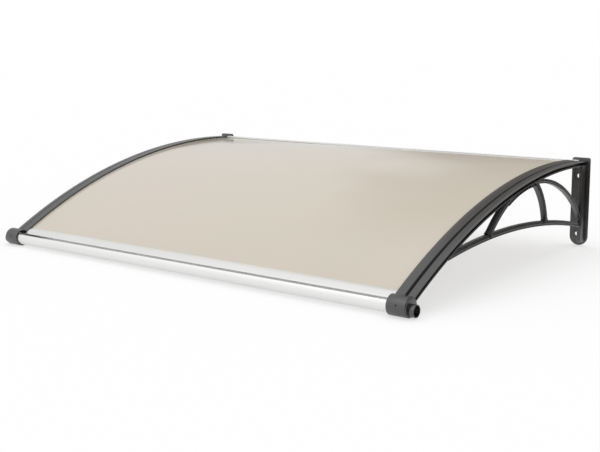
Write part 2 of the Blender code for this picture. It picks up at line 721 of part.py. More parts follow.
def drain_cap(tag, side):
    """The plug in a collar's outer end, with the drain spigot low on its face."""
    plug_end = COLLAR_OUTER_X - PLUG_LENGTH
    seat = COLLAR_OUTER_X + FIT
    profile = [
        (plug_end, PLUG_RADIUS), (seat, PLUG_RADIUS), (seat, CAP_RADIUS),
        (CAP_OUTER_X - CAP_CHAMFER, CAP_RADIUS), (CAP_OUTER_X, CAP_RADIUS - CAP_CHAMFER),
    ]
    cap = turned_x(f"drain_cap_{tag}", side, profile, AXIS, black_plastic())
    spigot_end = CAP_OUTER_X + SPIGOT_LENGTH
    spigot_radius = DRAIN_RADIUS + SPIGOT_WALL
    spigot_profile = [
        (CAP_OUTER_X - CAP_CHAMFER, spigot_radius), (spigot_end - CAP_CHAMFER, spigot_radius),
        (spigot_end, spigot_radius - CAP_CHAMFER),
    ]
    bore_profile = [(plug_end - OVERRUN, DRAIN_RADIUS), (spigot_end + OVERRUN, DRAIN_RADIUS)]
    spigot = turned_x(f"spigot_{tag}", side, spigot_profile, DRAIN_CENTRE, black_plastic())
    bore = turned_x(f"drain_cut_{tag}", side, bore_profile, DRAIN_CENTRE, black_plastic())
    combine(cap, spigot, "UNION")
    return combine(cap, bore, "DIFFERENCE")


def main():
    clear_scene()
    for tag, side in (("right", 1), ("left", -1)):
        bracket(tag, side)
        collar_screw(tag, side)
        drain_cap(tag, side)
    canopy_sheet()
    gutter_bar()
    rear_bar()


main()
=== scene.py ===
"""Looks of a door canopy: a beige bent sheet between two black moulded brackets, with a gutter bar in front.

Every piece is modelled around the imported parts, in their frame: metres, +Z up, the wall at the greatest Y.
"""

import logging
import math
from dataclasses import dataclass
from enum import Enum
from functools import cached_property
from typing import Callable, Iterable, Sequence

import bmesh
import bpy
from bmesh.types import BMEdge, BMFace, BMVert
from bpy.types import Material, NodeTree, Object, ShaderNodeTree
from mathutils import Matrix, Vector


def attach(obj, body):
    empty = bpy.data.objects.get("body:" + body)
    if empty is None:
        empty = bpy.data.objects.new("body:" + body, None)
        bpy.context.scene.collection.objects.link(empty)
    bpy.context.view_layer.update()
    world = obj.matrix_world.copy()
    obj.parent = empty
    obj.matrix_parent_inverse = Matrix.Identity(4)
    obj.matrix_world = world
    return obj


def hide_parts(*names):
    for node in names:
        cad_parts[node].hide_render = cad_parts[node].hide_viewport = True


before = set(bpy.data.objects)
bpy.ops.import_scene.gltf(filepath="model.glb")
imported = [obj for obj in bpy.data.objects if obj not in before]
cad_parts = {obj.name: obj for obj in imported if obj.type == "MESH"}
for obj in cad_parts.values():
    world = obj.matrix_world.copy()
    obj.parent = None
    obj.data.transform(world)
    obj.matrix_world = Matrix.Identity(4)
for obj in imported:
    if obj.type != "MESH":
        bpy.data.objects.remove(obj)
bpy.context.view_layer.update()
LOG = logging.getLogger("door_canopy")

X_AXIS = Vector((1.0, 0.0, 0.0))
Y_AXIS = Vector((0.0, 1.0, 0.0))
CLEARANCE = 0.0003
OVERRUN = 0.0040
MERGE_DISTANCE = 0.000002
SHARP_ANGLE = math.radians(33.0)
CORNER_SEGMENTS = 4
ROUND_STEPS = 96
SMALL_ROUND_STEPS = 48
SCREW_STEPS = 32
CORNER_STEPS = 8
BISECTIONS = 40
NOISE_MIDDLE = (0.3, 0.7)
WHITE = (1.0, 1.0, 1.0, 1.0)

Point = Sequence[float]
Color = tuple[float, float, float]
Sizes = tuple[tuple[str, float], ...]
Corner = tuple[float, float, float]


class Side(Enum):
    """The two ends of the canopy, with the sign of X on each."""

    LEFT = -1
    RIGHT = 1

    @property
    def tag(self) -> str:
        """The word that ends the names of this side's pieces."""
        return self.name.lower()


class Slot(Enum):
    """The record's material slots."""

    PLASTIC = "black_plastic"
    SHEET = "tinted_sheet"
    ALUMINIUM = "aluminium"
    STEEL = "screw_steel"


def arc(centre: Point, radius: float, start: float, sweep: float, steps: int) -> list[Vector]:
    """Points along a circle in a plane.

    Args:
        centre: Middle of the circle.
        radius: Its radius.
        start: Angle of the first point, in degrees.
        sweep: Angle covered, in degrees; a full turn leaves out the repeated last point.
        steps: Number of equal steps.

    Returns:
        The points as two-dimensional vectors.
    """
    count = steps if abs(sweep) == 360.0 else steps + 1
    turns = [math.radians(start + sweep * index / steps) for index in range(count)]
    return [Vector((centre[0] + radius * math.cos(t), centre[1] + radius * math.sin(t))) for t in turns]


def turning_point(low: float, high: float, before: Callable[[float], bool]) -> float:
    """Halves a range again and again towards the place where a test stops holding.

    Args:
        low: A value for which the test holds.
        high: A value for which it doesn't.
        before: The test.

    Returns:
        The last value for which it holds.
    """
    for _ in range(BISECTIONS):
        middle = (low + high) / 2
        if before(middle):
            low = middle
        else:
            high = middle
    return low


@dataclass(frozen=True)
class Arch:
    """The arc of the rails' flat top, in the side view from the wall forwards."""

    depth: float = 0.8315
    collar_radius: float = 0.0206
    radius: float = 1.4095
    wall_height: float = 0.2101
    over_axis: float = 0.0080

    @property
    def wall_y(self) -> float:
        """Y of the wall's plane."""
        return self.depth / 2

    @cached_property
    def axis(self) -> Vector:
        """The collars' axis as (forward, height)."""
        return Vector((self.depth - self.collar_radius, self.collar_radius))

    @cached_property
    def centre(self) -> Vector:
        """The arc's centre as (forward, height)."""
        wall = Vector((0.0, self.wall_height))
        front = self.axis + Vector((0.0, self.over_axis))
        chord = front - wall
        to_centre = Vector((chord.y, -chord.x)).normalized()
        return (wall + front) / 2 + to_centre * math.sqrt(self.radius ** 2 - (chord.length / 2) ** 2)

    def turn(self, forward: float) -> float:
        """The arc's angle from straight up, in radians, at a distance forward of the wall."""
        return math.asin((forward - self.centre.x) / self.radius)

    def point(self, forward: float, lift: float = 0.0) -> Vector:
        """The (forward, height) of a point lifted square off the arc.

        Args:
            forward: Distance forward of the wall.
            lift: How far it is lifted.

        Returns:
            The point.
        """
        turn = self.turn(forward)
        reach = self.radius + lift
        return self.centre + Vector((math.sin(turn), math.cos(turn))) * reach

    def place(self, x: float, side_point: Point) -> Vector:
        """The world point of a sideways place and a (forward, height) pair."""
        return Vector((x, self.wall_y - side_point[0], side_point[1]))


@dataclass(frozen=True)
class SheetFit:
    """How the sheet sits in the rails and the bars, measured from the rails' flat top."""

    thickness: float = 0.0040
    drop: float = 0.0028
    entry: float = 0.0214

    @property
    def top(self) -> float:
        """Lift of the sheet's top."""
        return -self.drop

    @property
    def under(self) -> float:
        """Lift of the sheet's underside."""
        return -self.drop - self.thickness

    @property
    def slot_top(self) -> float:
        """Lift of the top of the slots that hold the sheet."""
        return self.top + CLEARANCE

    @property
    def slot_under(self) -> float:
        """Lift of the underside of those slots."""
        return self.under - CLEARANCE


ARCH = Arch()
SHEET_FIT = SheetFit()


class Shape:
    """A mesh under construction, shaped with bmesh operators."""

    def __init__(self) -> None:
        """Starts an empty mesh."""
        self.bm = bmesh.new()

    def outline(
            self, points: Sequence[Vector], cuts: Sequence[float],
            segments: int = CORNER_SEGMENTS) -> BMFace:
        """Makes one face from an outline and rounds its corners.

        Args:
            points: The corners in order.
            cuts: For each corner, how far back along its edges the rounding starts; 0 keeps it sharp.
            segments: Number of steps in each rounding.

        Returns:
            The finished face.
        """
        before = set(self.bm.faces)
        verts = [self.bm.verts.new(point) for point in points]
        self.bm.faces.new(verts)
        by_cut: dict[float, list[BMVert]] = {}
        for vert, cut in zip(verts, cuts):
            if cut:
                by_cut.setdefault(cut, []).append(vert)
        for cut, corners in by_cut.items():
            bmesh.ops.bevel(
                self.bm, geom=corners, offset=cut, offset_type="OFFSET", affect="VERTICES",
                segments=segments, profile=0.5, material=-1, clamp_overlap=True)
        return next(face for face in self.bm.faces if face not in before)

    def extrude(self, face: BMFace, along: Vector) -> list[BMFace]:
        """Extrudes a face into a closed prism.

        Args:
            face: The face, which stays as the prism's first end.
            along: Direction and length.

        Returns:
            The faces of the far end.
        """
        made = bmesh.ops.extrude_face_region(self.bm, geom=[face])["geom"]
        bmesh.ops.translate(self.bm, verts=[item for item in made if isinstance(item, BMVert)], vec=along)
        return [item for item in made if isinstance(item, BMFace)]

    def sweep(self, face: BMFace, centre: Vector, angle: float, steps: int) -> None:
        """Carries a face round a sideways axis into a closed bent bar.

        Args:
            face: The section at the start.
            centre: A point on the axis.
            angle: Angle in radians.
            steps: Number of steps.
        """
        geometry = [face, *face.edges, *face.verts]
        bmesh.ops.spin(
            self.bm, geom=geometry, cent=centre, axis=X_AXIS, dvec=(0.0, 0.0, 0.0), angle=angle, steps=steps,
            use_merge=False, use_duplicate=False)

    def turned(self, face: BMFace, centre: Vector, axis: Vector, steps: int = ROUND_STEPS) -> None:
        """Turns a section a full turn into a closed ring.

        Args:
            face: The section, which is used for its edges only.
            centre: A point on the axis.
            axis: The axis.
            steps: Number of steps.
        """
        edges = list(face.edges)
        verts = list(face.verts)
        bmesh.ops.delete(self.bm, geom=[face], context="FACES_ONLY")
        bmesh.ops.spin(
            self.bm, geom=[*verts, *edges], cent=centre, axis=axis, dvec=(0.0, 0.0, 0.0), angle=math.tau,
            steps=steps, use_merge=True, use_duplicate=False)

    def rod(self, start: Vector, end: Vector, radii: tuple[float, float], steps: int) -> list[BMVert]:
        """Adds a solid rod or cone between two points.

        Args:
            start: Middle of the first end.
            end: Middle of the other end.
            radii: Radius at each end.
            steps: Number of sides.

        Returns:
            The new vertices.
        """
        along = end - start
        turn = along.to_track_quat("Z", "Y").to_matrix().to_4x4()
        matrix = Matrix.Translation((start + end) / 2) @ turn
        made = bmesh.ops.create_cone(
            self.bm, cap_ends=True, cap_tris=False, segments=steps, radius1=radii[0], radius2=radii[1],
            depth=along.length, matrix=matrix)
        return made["verts"]

    def block(self, low: Vector, high: Vector) -> None:
        """Adds a box between two corners."""
        matrix = Matrix.Translation((low + high) / 2) @ Matrix.Diagonal((*(high - low), 1.0))
        bmesh.ops.create_cube(self.bm, size=1.0, matrix=matrix)

    def soften(self, edges: Iterable[BMEdge], width: float, segments: int = CORNER_SEGMENTS) -> None:
        """Rounds edges.

        Args:
            edges: The edges.
            width: Width of the rounding.
            segments: Number of steps in it.
        """
        bmesh.ops.bevel(
            self.bm, geom=list(edges), offset=width, offset_type="OFFSET", affect="EDGES",
            segments=segments, profile=0.5, material=-1, clamp_overlap=True)

    def soften_sharp(self, width: float, segments: int = CORNER_SEGMENTS) -> None:
        """Rounds every edge that is sharper than the shading angle.

        Args:
            width: Width of the rounding.
            segments: Number of steps in it.
        """
        bmesh.ops.recalc_face_normals(self.bm, faces=self.bm.faces)
        sharp = [e for e in self.bm.edges if len(e.link_faces) == 2 and e.calc_face_angle(0.0) > SHARP_ANGLE]
        self.soften(sharp, width, segments)

    def finish(self, name: str) -> Object:
        """Turns the mesh into an object.

        Args:
            name: The object's name.

        Returns:
            The object.
        """
        bmesh.ops.remove_doubles(self.bm, verts=self.bm.verts, dist=MERGE_DISTANCE)
        bmesh.ops.recalc_face_normals(self.bm, faces=self.bm.faces)
        mesh = bpy.data.meshes.new(name)
        self.bm.to_mesh(mesh)
        self.bm.free()
        made = bpy.data.objects.new(name, mesh)
        bpy.context.scene.collection.objects.link(made)
        return made


def carve(target: Object, cutter: Object, operation: str = "DIFFERENCE") -> None:
    """Applies a Boolean to an object's mesh and removes the cutter.

    Args:
        target: The object to change.
        cutter: The object to cut or add.
        operation: DIFFERENCE or UNION.
    """
    step = target.modifiers.new("carve", "BOOLEAN")
    step.operation = operation
    step.solver = "EXACT"
    step.object = cutter
    bpy.context.view_layer.update()
    evaluated = target.evaluated_get(bpy.context.evaluated_depsgraph_get())
    carved = bpy.data.meshes.new_from_object(evaluated)
    target.modifiers.clear()
    replaced = target.data
    target.data = carved
    carved.name = target.name
    bpy.data.meshes.remove(replaced)
    spent = cutter.data
    bpy.data.objects.remove(cutter)
    bpy.data.meshes.remove(spent)


def enter(piece: Object, node: str, finish: Material) -> Object:
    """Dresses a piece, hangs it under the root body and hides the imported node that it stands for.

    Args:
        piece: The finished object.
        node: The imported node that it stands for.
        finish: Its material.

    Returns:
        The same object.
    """
    mesh = piece.data
    mesh.materials.clear()
    mesh.materials.append(finish)
    mesh.shade_smooth()
    mesh.set_sharp_from_angle(angle=SHARP_ANGLE)
    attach(piece, "root")
    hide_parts(node)
    LOG.info("%s stands for %s, %d faces", piece.name, node, len(mesh.polygons))
    return piece


def stretched(tree: NodeTree, scale: Point) -> bpy.types.NodeSocket:
    """Object coordinates, stretched by a scale.

    Args:
        tree: The node tree to add to.
        scale: Factor on each axis.

    Returns:
        The socket with the coordinates.
    """
    place = tree.nodes.new("ShaderNodeTexCoord")
    mapping = tree.nodes.new("ShaderNodeMapping")
    mapping.inputs["Scale"].default_value = scale
    tree.links.new(place.outputs["Object"], mapping.inputs["Vector"])
    return mapping.outputs["Vector"]


def noise(tree: NodeTree, place: bpy.types.NodeSocket, scale: float, detail: float) -> bpy.types.NodeSocket:
    """A noise value over some coordinates.

    Args:
        tree: The node tree to add to.
        place: The coordinates.
        scale: The noise's scale.
        detail: Its number of octaves.

    Returns:
        The socket with the value.
    """
    made = tree.nodes.new("ShaderNodeTexNoise")
    made.inputs["Scale"].default_value = scale
    made.inputs["Detail"].default_value = detail
    tree.links.new(place, made.inputs["Vector"])
    return made.outputs["Fac"]


def ranged(tree: NodeTree, value: bpy.types.NodeSocket, low: float, high: float) -> bpy.types.NodeSocket:
    """Spreads the middle of a noise's values over a range.

    Args:
        tree: The node tree to add to.
        value: The noise.
        low: Result where the noise is low.
        high: Result where it is high.

    Returns:
        The socket with the result.
    """
    made = tree.nodes.new("ShaderNodeMapRange")
    made.inputs["From Min"].default_value, made.inputs["From Max"].default_value = NOISE_MIDDLE
    made.inputs["To Min"].default_value = low
    made.inputs["To Max"].default_value = high
    tree.links.new(value, made.inputs["Value"])
    return made.outputs["Result"]


@dataclass(frozen=True)
class Mask:
    """One output of an effect: a noise over stretched object coordinates."""

    size: str
    octaves: float
    stretch: tuple[float, float, float] = (1.0, 1.0, 1.0)


@dataclass(frozen=True)
class Effect:
    """A shader node group that several materials may share."""

    name: str
    masks: dict[str, Mask]

    def group(self) -> ShaderNodeTree:
        """Makes the group: an input for each size that a mask names, and an output for each mask.

        Returns:
            The group.
        """
        tree = bpy.data.node_groups.new(self.name, "ShaderNodeTree")
        for size in dict.fromkeys(mask.size for mask in self.masks.values()):
            tree.interface.new_socket(name=size, in_out="INPUT", socket_type="NodeSocketFloat")
        for label in self.masks:
            tree.interface.new_socket(name=label, in_out="OUTPUT", socket_type="NodeSocketFloat")
        given = tree.nodes.new("NodeGroupInput")
        result = tree.nodes.new("NodeGroupOutput")
        for label, mask in self.masks.items():
            value = noise(tree, stretched(tree, mask.stretch), 1.0, mask.octaves)
            tree.links.new(given.outputs[mask.size], value.node.inputs["Scale"])
            tree.links.new(value, result.inputs[label])
        return tree


MOULDED_GRAIN = Effect("moulded_grain", {
    "Height": Mask("Grain Scale", 2.0), "Cloud": Mask("Cloud Scale", 3.0)})
DRAWN_LINES = Effect("drawn_lines", {
    "Height": Mask("Line Scale", 3.0, (0.02, 60.0, 60.0)), "Cloud": Mask("Cloud Scale", 2.0)})
TINT_CLOUDS = Effect("tint_clouds", {
    "Height": Mask("Wave Scale", 1.0), "Warm": Mask("Tint Scale", 2.0),
    "Green": Mask("Tint Scale", 1.0, (1.3, 0.8, 1.0))})


@dataclass(frozen=True)
class Finish:
    """A principled surface whose colour, gloss and relief follow an effect's masks."""

    name: str
    color: Color
    other_color: Color
    roughness: tuple[float, float]
    bump: float
    relief: float
    sizes: Sizes
    color_mask: str = "Cloud"
    gloss_mask: str = "Cloud"
    metallic: float = 0.0
    index: float = 1.5

    def make(self, effect: ShaderNodeTree) -> Material:
        """Makes the material.

        Args:
            effect: The node group of the effect that it uses.

        Returns:
            The material.
        """
        made = bpy.data.materials.new(self.name)
        made.use_nodes = True
        made.diffuse_color = (*self.color, 1.0)
        tree = made.node_tree
        shader = tree.nodes["Principled BSDF"]
        shader.inputs["Metallic"].default_value = self.metallic
        shader.inputs["IOR"].default_value = self.index
        group = tree.nodes.new("ShaderNodeGroup")
        group.node_tree = effect
        for label, value in self.sizes:
            group.inputs[label].default_value = value
        tree.links.new(self.tinted(tree, group.outputs[self.color_mask]), shader.inputs["Base Color"])
        gloss = ranged(tree, group.outputs[self.gloss_mask], *self.roughness)
        tree.links.new(gloss, shader.inputs["Roughness"])
        tree.links.new(self.raised(tree, group.outputs["Height"]), shader.inputs["Normal"])
        return made

    def tinted(self, tree: NodeTree, mask: bpy.types.NodeSocket) -> bpy.types.NodeSocket:
        """The two colours mixed by a mask.

        Args:
            tree: The material's node tree.
            mask: The mask.

        Returns:
            The socket with the colour.
        """
        mix = tree.nodes.new("ShaderNodeMix")
        mix.data_type = "RGBA"
        mix.inputs["A"].default_value = (*self.color, 1.0)
        mix.inputs["B"].default_value = (*self.other_color, 1.0)
        tree.links.new(ranged(tree, mask, 0.0, 1.0), mix.inputs["Factor"])
        return mix.outputs["Result"]

    def raised(self, tree: NodeTree, height: bpy.types.NodeSocket) -> bpy.types.NodeSocket:
        """The surface's normal, changed by a height.

        Args:
            tree: The material's node tree.
            height: The height, from 0 to 1.

        Returns:
            The socket with the normal.
        """
        bump = tree.nodes.new("ShaderNodeBump")
        bump.inputs["Strength"].default_value = self.bump
        bump.inputs["Distance"].default_value = self.relief
        tree.links.new(height, bump.inputs["Height"])
        return bump.outputs["Normal"]


@dataclass(frozen=True)
class BlackPlastic(Finish):
    """Black moulded plastic with a fine satin grain."""

    name: str = "black_plastic"
    color: Color = (0.0055, 0.0055, 0.0058)
    other_color: Color = (0.0085, 0.0085, 0.0085)
    roughness: tuple[float, float] = (0.26, 0.36)
    bump: float = 0.25
    relief: float = 0.00012
    sizes: Sizes = (("Grain Scale", 1600.0), ("Cloud Scale", 34.0))
    index: float = 1.95


@dataclass(frozen=True)
class TintedSheet(Finish):
    """Glossy beige-brown sheet, very slightly uneven."""

    name: str = "tinted_sheet"
    color: Color = (0.650, 0.580, 0.500)
    other_color: Color = (0.622, 0.572, 0.480)
    roughness: tuple[float, float] = (0.08, 0.12)
    bump: float = 0.6
    relief: float = 0.004
    sizes: Sizes = (("Tint Scale", 2.6), ("Wave Scale", 4.5))
    color_mask: str = "Green"
    gloss_mask: str = "Warm"


@dataclass(frozen=True)
class DrawnAluminium(Finish):
    """Bare drawn aluminium with fine lines along its length."""

    name: str = "aluminium"
    color: Color = (0.850, 0.850, 0.842)
    other_color: Color = (0.790, 0.792, 0.785)
    roughness: tuple[float, float] = (0.28, 0.40)
    bump: float = 0.35
    relief: float = 0.00010
    sizes: Sizes = (("Line Scale", 26.0), ("Cloud Scale", 7.0))
    color_mask: str = "Height"
    metallic: float = 1.0


@dataclass(frozen=True)
class BlackenedSteel(Finish):
    """Blackened steel with a fine grain."""

    name: str = "screw_steel"
    color: Color = (0.060, 0.060, 0.064)
    other_color: Color = (0.110, 0.108, 0.105)
    roughness: tuple[float, float] = (0.32, 0.48)
    bump: float = 0.3
    relief: float = 0.00005
    sizes: Sizes = (("Grain Scale", 2600.0), ("Cloud Scale", 900.0))
    metallic: float = 1.0


class Finishes:
    """The canopy's four materials."""

    def __init__(self) -> None:
        """Makes each effect once, and the materials with them."""
        grain = MOULDED_GRAIN.group()
        self.plastic = BlackPlastic().make(grain)
        self.sheet = TintedSheet().make(TINT_CLOUDS.group())
        self.aluminium = DrawnAluminium().make(DRAWN_LINES.group())
        self.steel = BlackenedSteel().make(grain)


@dataclass(frozen=True)
class Ends:
    """Sideways places that the brackets and the bars share."""

    width: float = 1.200
    cap_thickness: float = 0.0018
    collar_length: float = 0.0406
    rail_inset: float = 0.0005
    rail_width: float = 0.0433
    plug_length: float = 0.0068

    @property
    def cap_outer(self) -> float:
        """Outer face of the drain caps' rims."""
        return self.width / 2

    @property
    def collar_outer(self) -> float:
        """Outer end of the collars."""
        return self.cap_outer - self.cap_thickness - CLEARANCE

    @property
    def collar_inner(self) -> float:
        """Inner end of the collars."""
        return self.collar_outer - self.collar_length

    @property
    def rail_outer(self) -> float:
        """Outer side of the rails."""
        return self.collar_outer - self.rail_inset

    @property
    def rail_inner(self) -> float:
        """Inner edge of the rails."""
        return self.rail_outer - self.rail_width

    @property
    def sheet_edge(self) -> float:
        """Long edge of the sheet, inside a rail."""
        return self.rail_inner + SHEET_FIT.entry

    @property
    def gutter_end(self) -> float:
        """End of the gutter bar, inside a collar."""
        return self.collar_outer - self.plug_length - CLEARANCE


ENDS = Ends()


@dataclass(frozen=True)
class GutterSizes:
    """The front bar's tube and jaw, which the collars also fit."""

    radius: float = 0.0171
    wall: float = 0.0014
    lip_angle: float = 38.0
    jaw_wall: float = 0.0015
    jaw_front: float = 0.0075
    jaw_nose: float = 0.0052
    jaw_ramp: float = 0.0060
    jaw_top_reach: float = 0.0268
    jaw_low_reach: float = 0.0215

    @property
    def bore(self) -> float:
        """Radius of the collars' bore."""
        return self.radius + CLEARANCE


GUTTER = GutterSizes()


def along_arch(shape: Shape, corners: Sequence[Corner], forward: tuple[float, float], steps: int) -> None:
    """Sweeps a section along the arch.

    Args:
        shape: The mesh to add to.
        corners: The section's corners as (x, lift off the arch, rounding).
        forward: Where the sweep starts and ends, forward of the wall.
        steps: Number of steps.
    """
    points = [ARCH.place(x, ARCH.point(forward[0], lift)) for x, lift, _ in corners]
    face = shape.outline(points, [cut for _, _, cut in corners])
    angle = ARCH.turn(forward[1]) - ARCH.turn(forward[0])
    shape.sweep(face, ARCH.place(0.0, ARCH.centre), angle, steps)


@dataclass
class Rail:
    """The arched rail that holds the sheet's long edge."""

    side: Side
    height: float = 0.0135
    lap_edge: float = 0.0009
    ridge_offset: float = 0.0208
    ridge_height: float = 0.0009
    groove_offset: float = 0.0231
    groove_width: float = 0.0010
    groove_depth: float = 0.0056
    groove_flank: float = 0.0034
    crown_offset: float = 0.0345
    crown_dip: float = 0.0003
    outer_drop: float = 0.0020
    flange_thickness: float = 0.0036
    channel_depth: float = 0.0125
    web_thickness: float = 0.0041
    lip_inset: float = 0.0013
    lip_thickness: float = 0.0036
    jaw_thickness: float = 0.0026
    jaw_inset: float = 0.0060
    jaw_tip: float = 0.0027
    slot_wall: float = 0.0030
    groove_round: float = 0.0003
    fine_round: float = 0.0004
    flange_round: float = 0.0006
    ridge_round: float = 0.0007
    brim_round: float = 0.0008
    lap_round: float = 0.0009
    web_round: float = 0.0010
    lip_round: float = 0.0014
    crown_round: float = 0.0045
    steps: int = 120

    def section(self) -> list[Corner]:
        """The section as (x, lift, rounding), with the sheet's slot open.

        Returns:
            The corners in order.
        """
        jaw_under = SHEET_FIT.slot_under - self.jaw_thickness
        slot_end = SHEET_FIT.entry + CLEARANCE
        inner_wall = slot_end + self.slot_wall
        groove_end = self.groove_offset + self.groove_width
        web = ENDS.rail_width - self.channel_depth
        lip = ENDS.rail_width - self.lip_inset
        lip_top = self.lip_thickness - self.height
        corners = [
            (0.0, SHEET_FIT.slot_top, self.fine_round), (0.0, self.lap_edge, self.lap_round),
            (self.ridge_offset, self.ridge_height, self.ridge_round),
            (self.groove_offset, -self.groove_depth, self.groove_round),
            (groove_end, -self.groove_depth, self.groove_round),
            (groove_end + self.groove_flank, -self.crown_dip, self.brim_round),
            (self.crown_offset, 0.0, self.crown_round),
            (ENDS.rail_width, -self.outer_drop, self.brim_round),
            (ENDS.rail_width, -self.flange_thickness, self.flange_round),
            (web, -self.flange_thickness, self.web_round), (web, lip_top, self.web_round),
            (lip, lip_top, self.lip_round), (lip, -self.height, self.lip_round),
            (web - self.web_thickness, -self.height, self.web_round),
            (inner_wall, jaw_under, self.web_round), (self.jaw_inset, jaw_under, self.web_round),
            (self.jaw_tip, SHEET_FIT.slot_under, self.fine_round),
            (slot_end, SHEET_FIT.slot_under, 0.0), (slot_end, SHEET_FIT.slot_top, 0.0),
        ]
        return [(self.side.value * (ENDS.rail_inner + x), lift, cut) for x, lift, cut in corners]

    def build(self, plate: "WallPlate") -> Object:
        """The rail, cut to fit the collar's bore and the rear bar's end.

        Args:
            plate: The bracket's wall plate.

        Returns:
            The rail.
        """
        shape = Shape()
        along_arch(shape, self.section(), (plate.thickness / 2, ARCH.axis.x), self.steps)
        rail = shape.finish(f"rail_{self.side.tag}")
        carve(rail, self.bore_cutter())
        carve(rail, self.notch_cutter(plate))
        carve(rail, self.trim_cutter(plate))
        return rail

    def bore_cutter(self) -> Object:
        """The space inside the collar.

        Returns:
            The cutter.
        """
        cutter = Shape()
        start = ARCH.place(self.side.value * (ENDS.rail_inner - OVERRUN), ARCH.axis)
        end = ARCH.place(self.side.value * (ENDS.collar_outer + OVERRUN), ARCH.axis)
        cutter.rod(start, end, (GUTTER.bore, GUTTER.bore), ROUND_STEPS)
        return cutter.finish("bore_cutter")

    def box_cutter(
            self, x_range: tuple[float, float], forward: tuple[float, float], z_from: float) -> Object:
        """A box between two sideways places and two distances forward, from a height up.

        Args:
            x_range: The sideways places, as on the right.
            forward: The distances forward of the wall.
            z_from: Height of its underside.

        Returns:
            The cutter.
        """
        cutter = Shape()
        xs = sorted(self.side.value * x for x in x_range)
        low = Vector((xs[0], ARCH.wall_y - forward[1], z_from))
        high = Vector((xs[1], ARCH.wall_y - forward[0], ARCH.wall_height + self.height))
        cutter.block(low, high)
        return cutter.finish("box_cutter")

    def notch_cutter(self, plate: "WallPlate") -> Object:
        """The space at the wall end of the rail that the rear bar's end fills.

        Args:
            plate: The bracket's wall plate.

        Returns:
            The cutter.
        """
        x_range = (ENDS.rail_inner - OVERRUN, ENDS.sheet_edge + CLEARANCE)
        low = ARCH.point(0.0, SHEET_FIT.under - RearBar.leg).y - OVERRUN
        return self.box_cutter(x_range, (plate.thickness, RearBar.depth + CLEARANCE), low)

    def trim_cutter(self, plate: "WallPlate") -> Object:
        """What would stand out beside the plate.

        Args:
            plate: The bracket's wall plate.

        Returns:
            The cutter.
        """
        x_range = (ENDS.rail_inner - OVERRUN, plate.inner)
        low = ARCH.point(0.0, -self.height).y - OVERRUN
        return self.box_cutter(x_range, (-OVERRUN, RearBar.depth - OVERRUN), low)


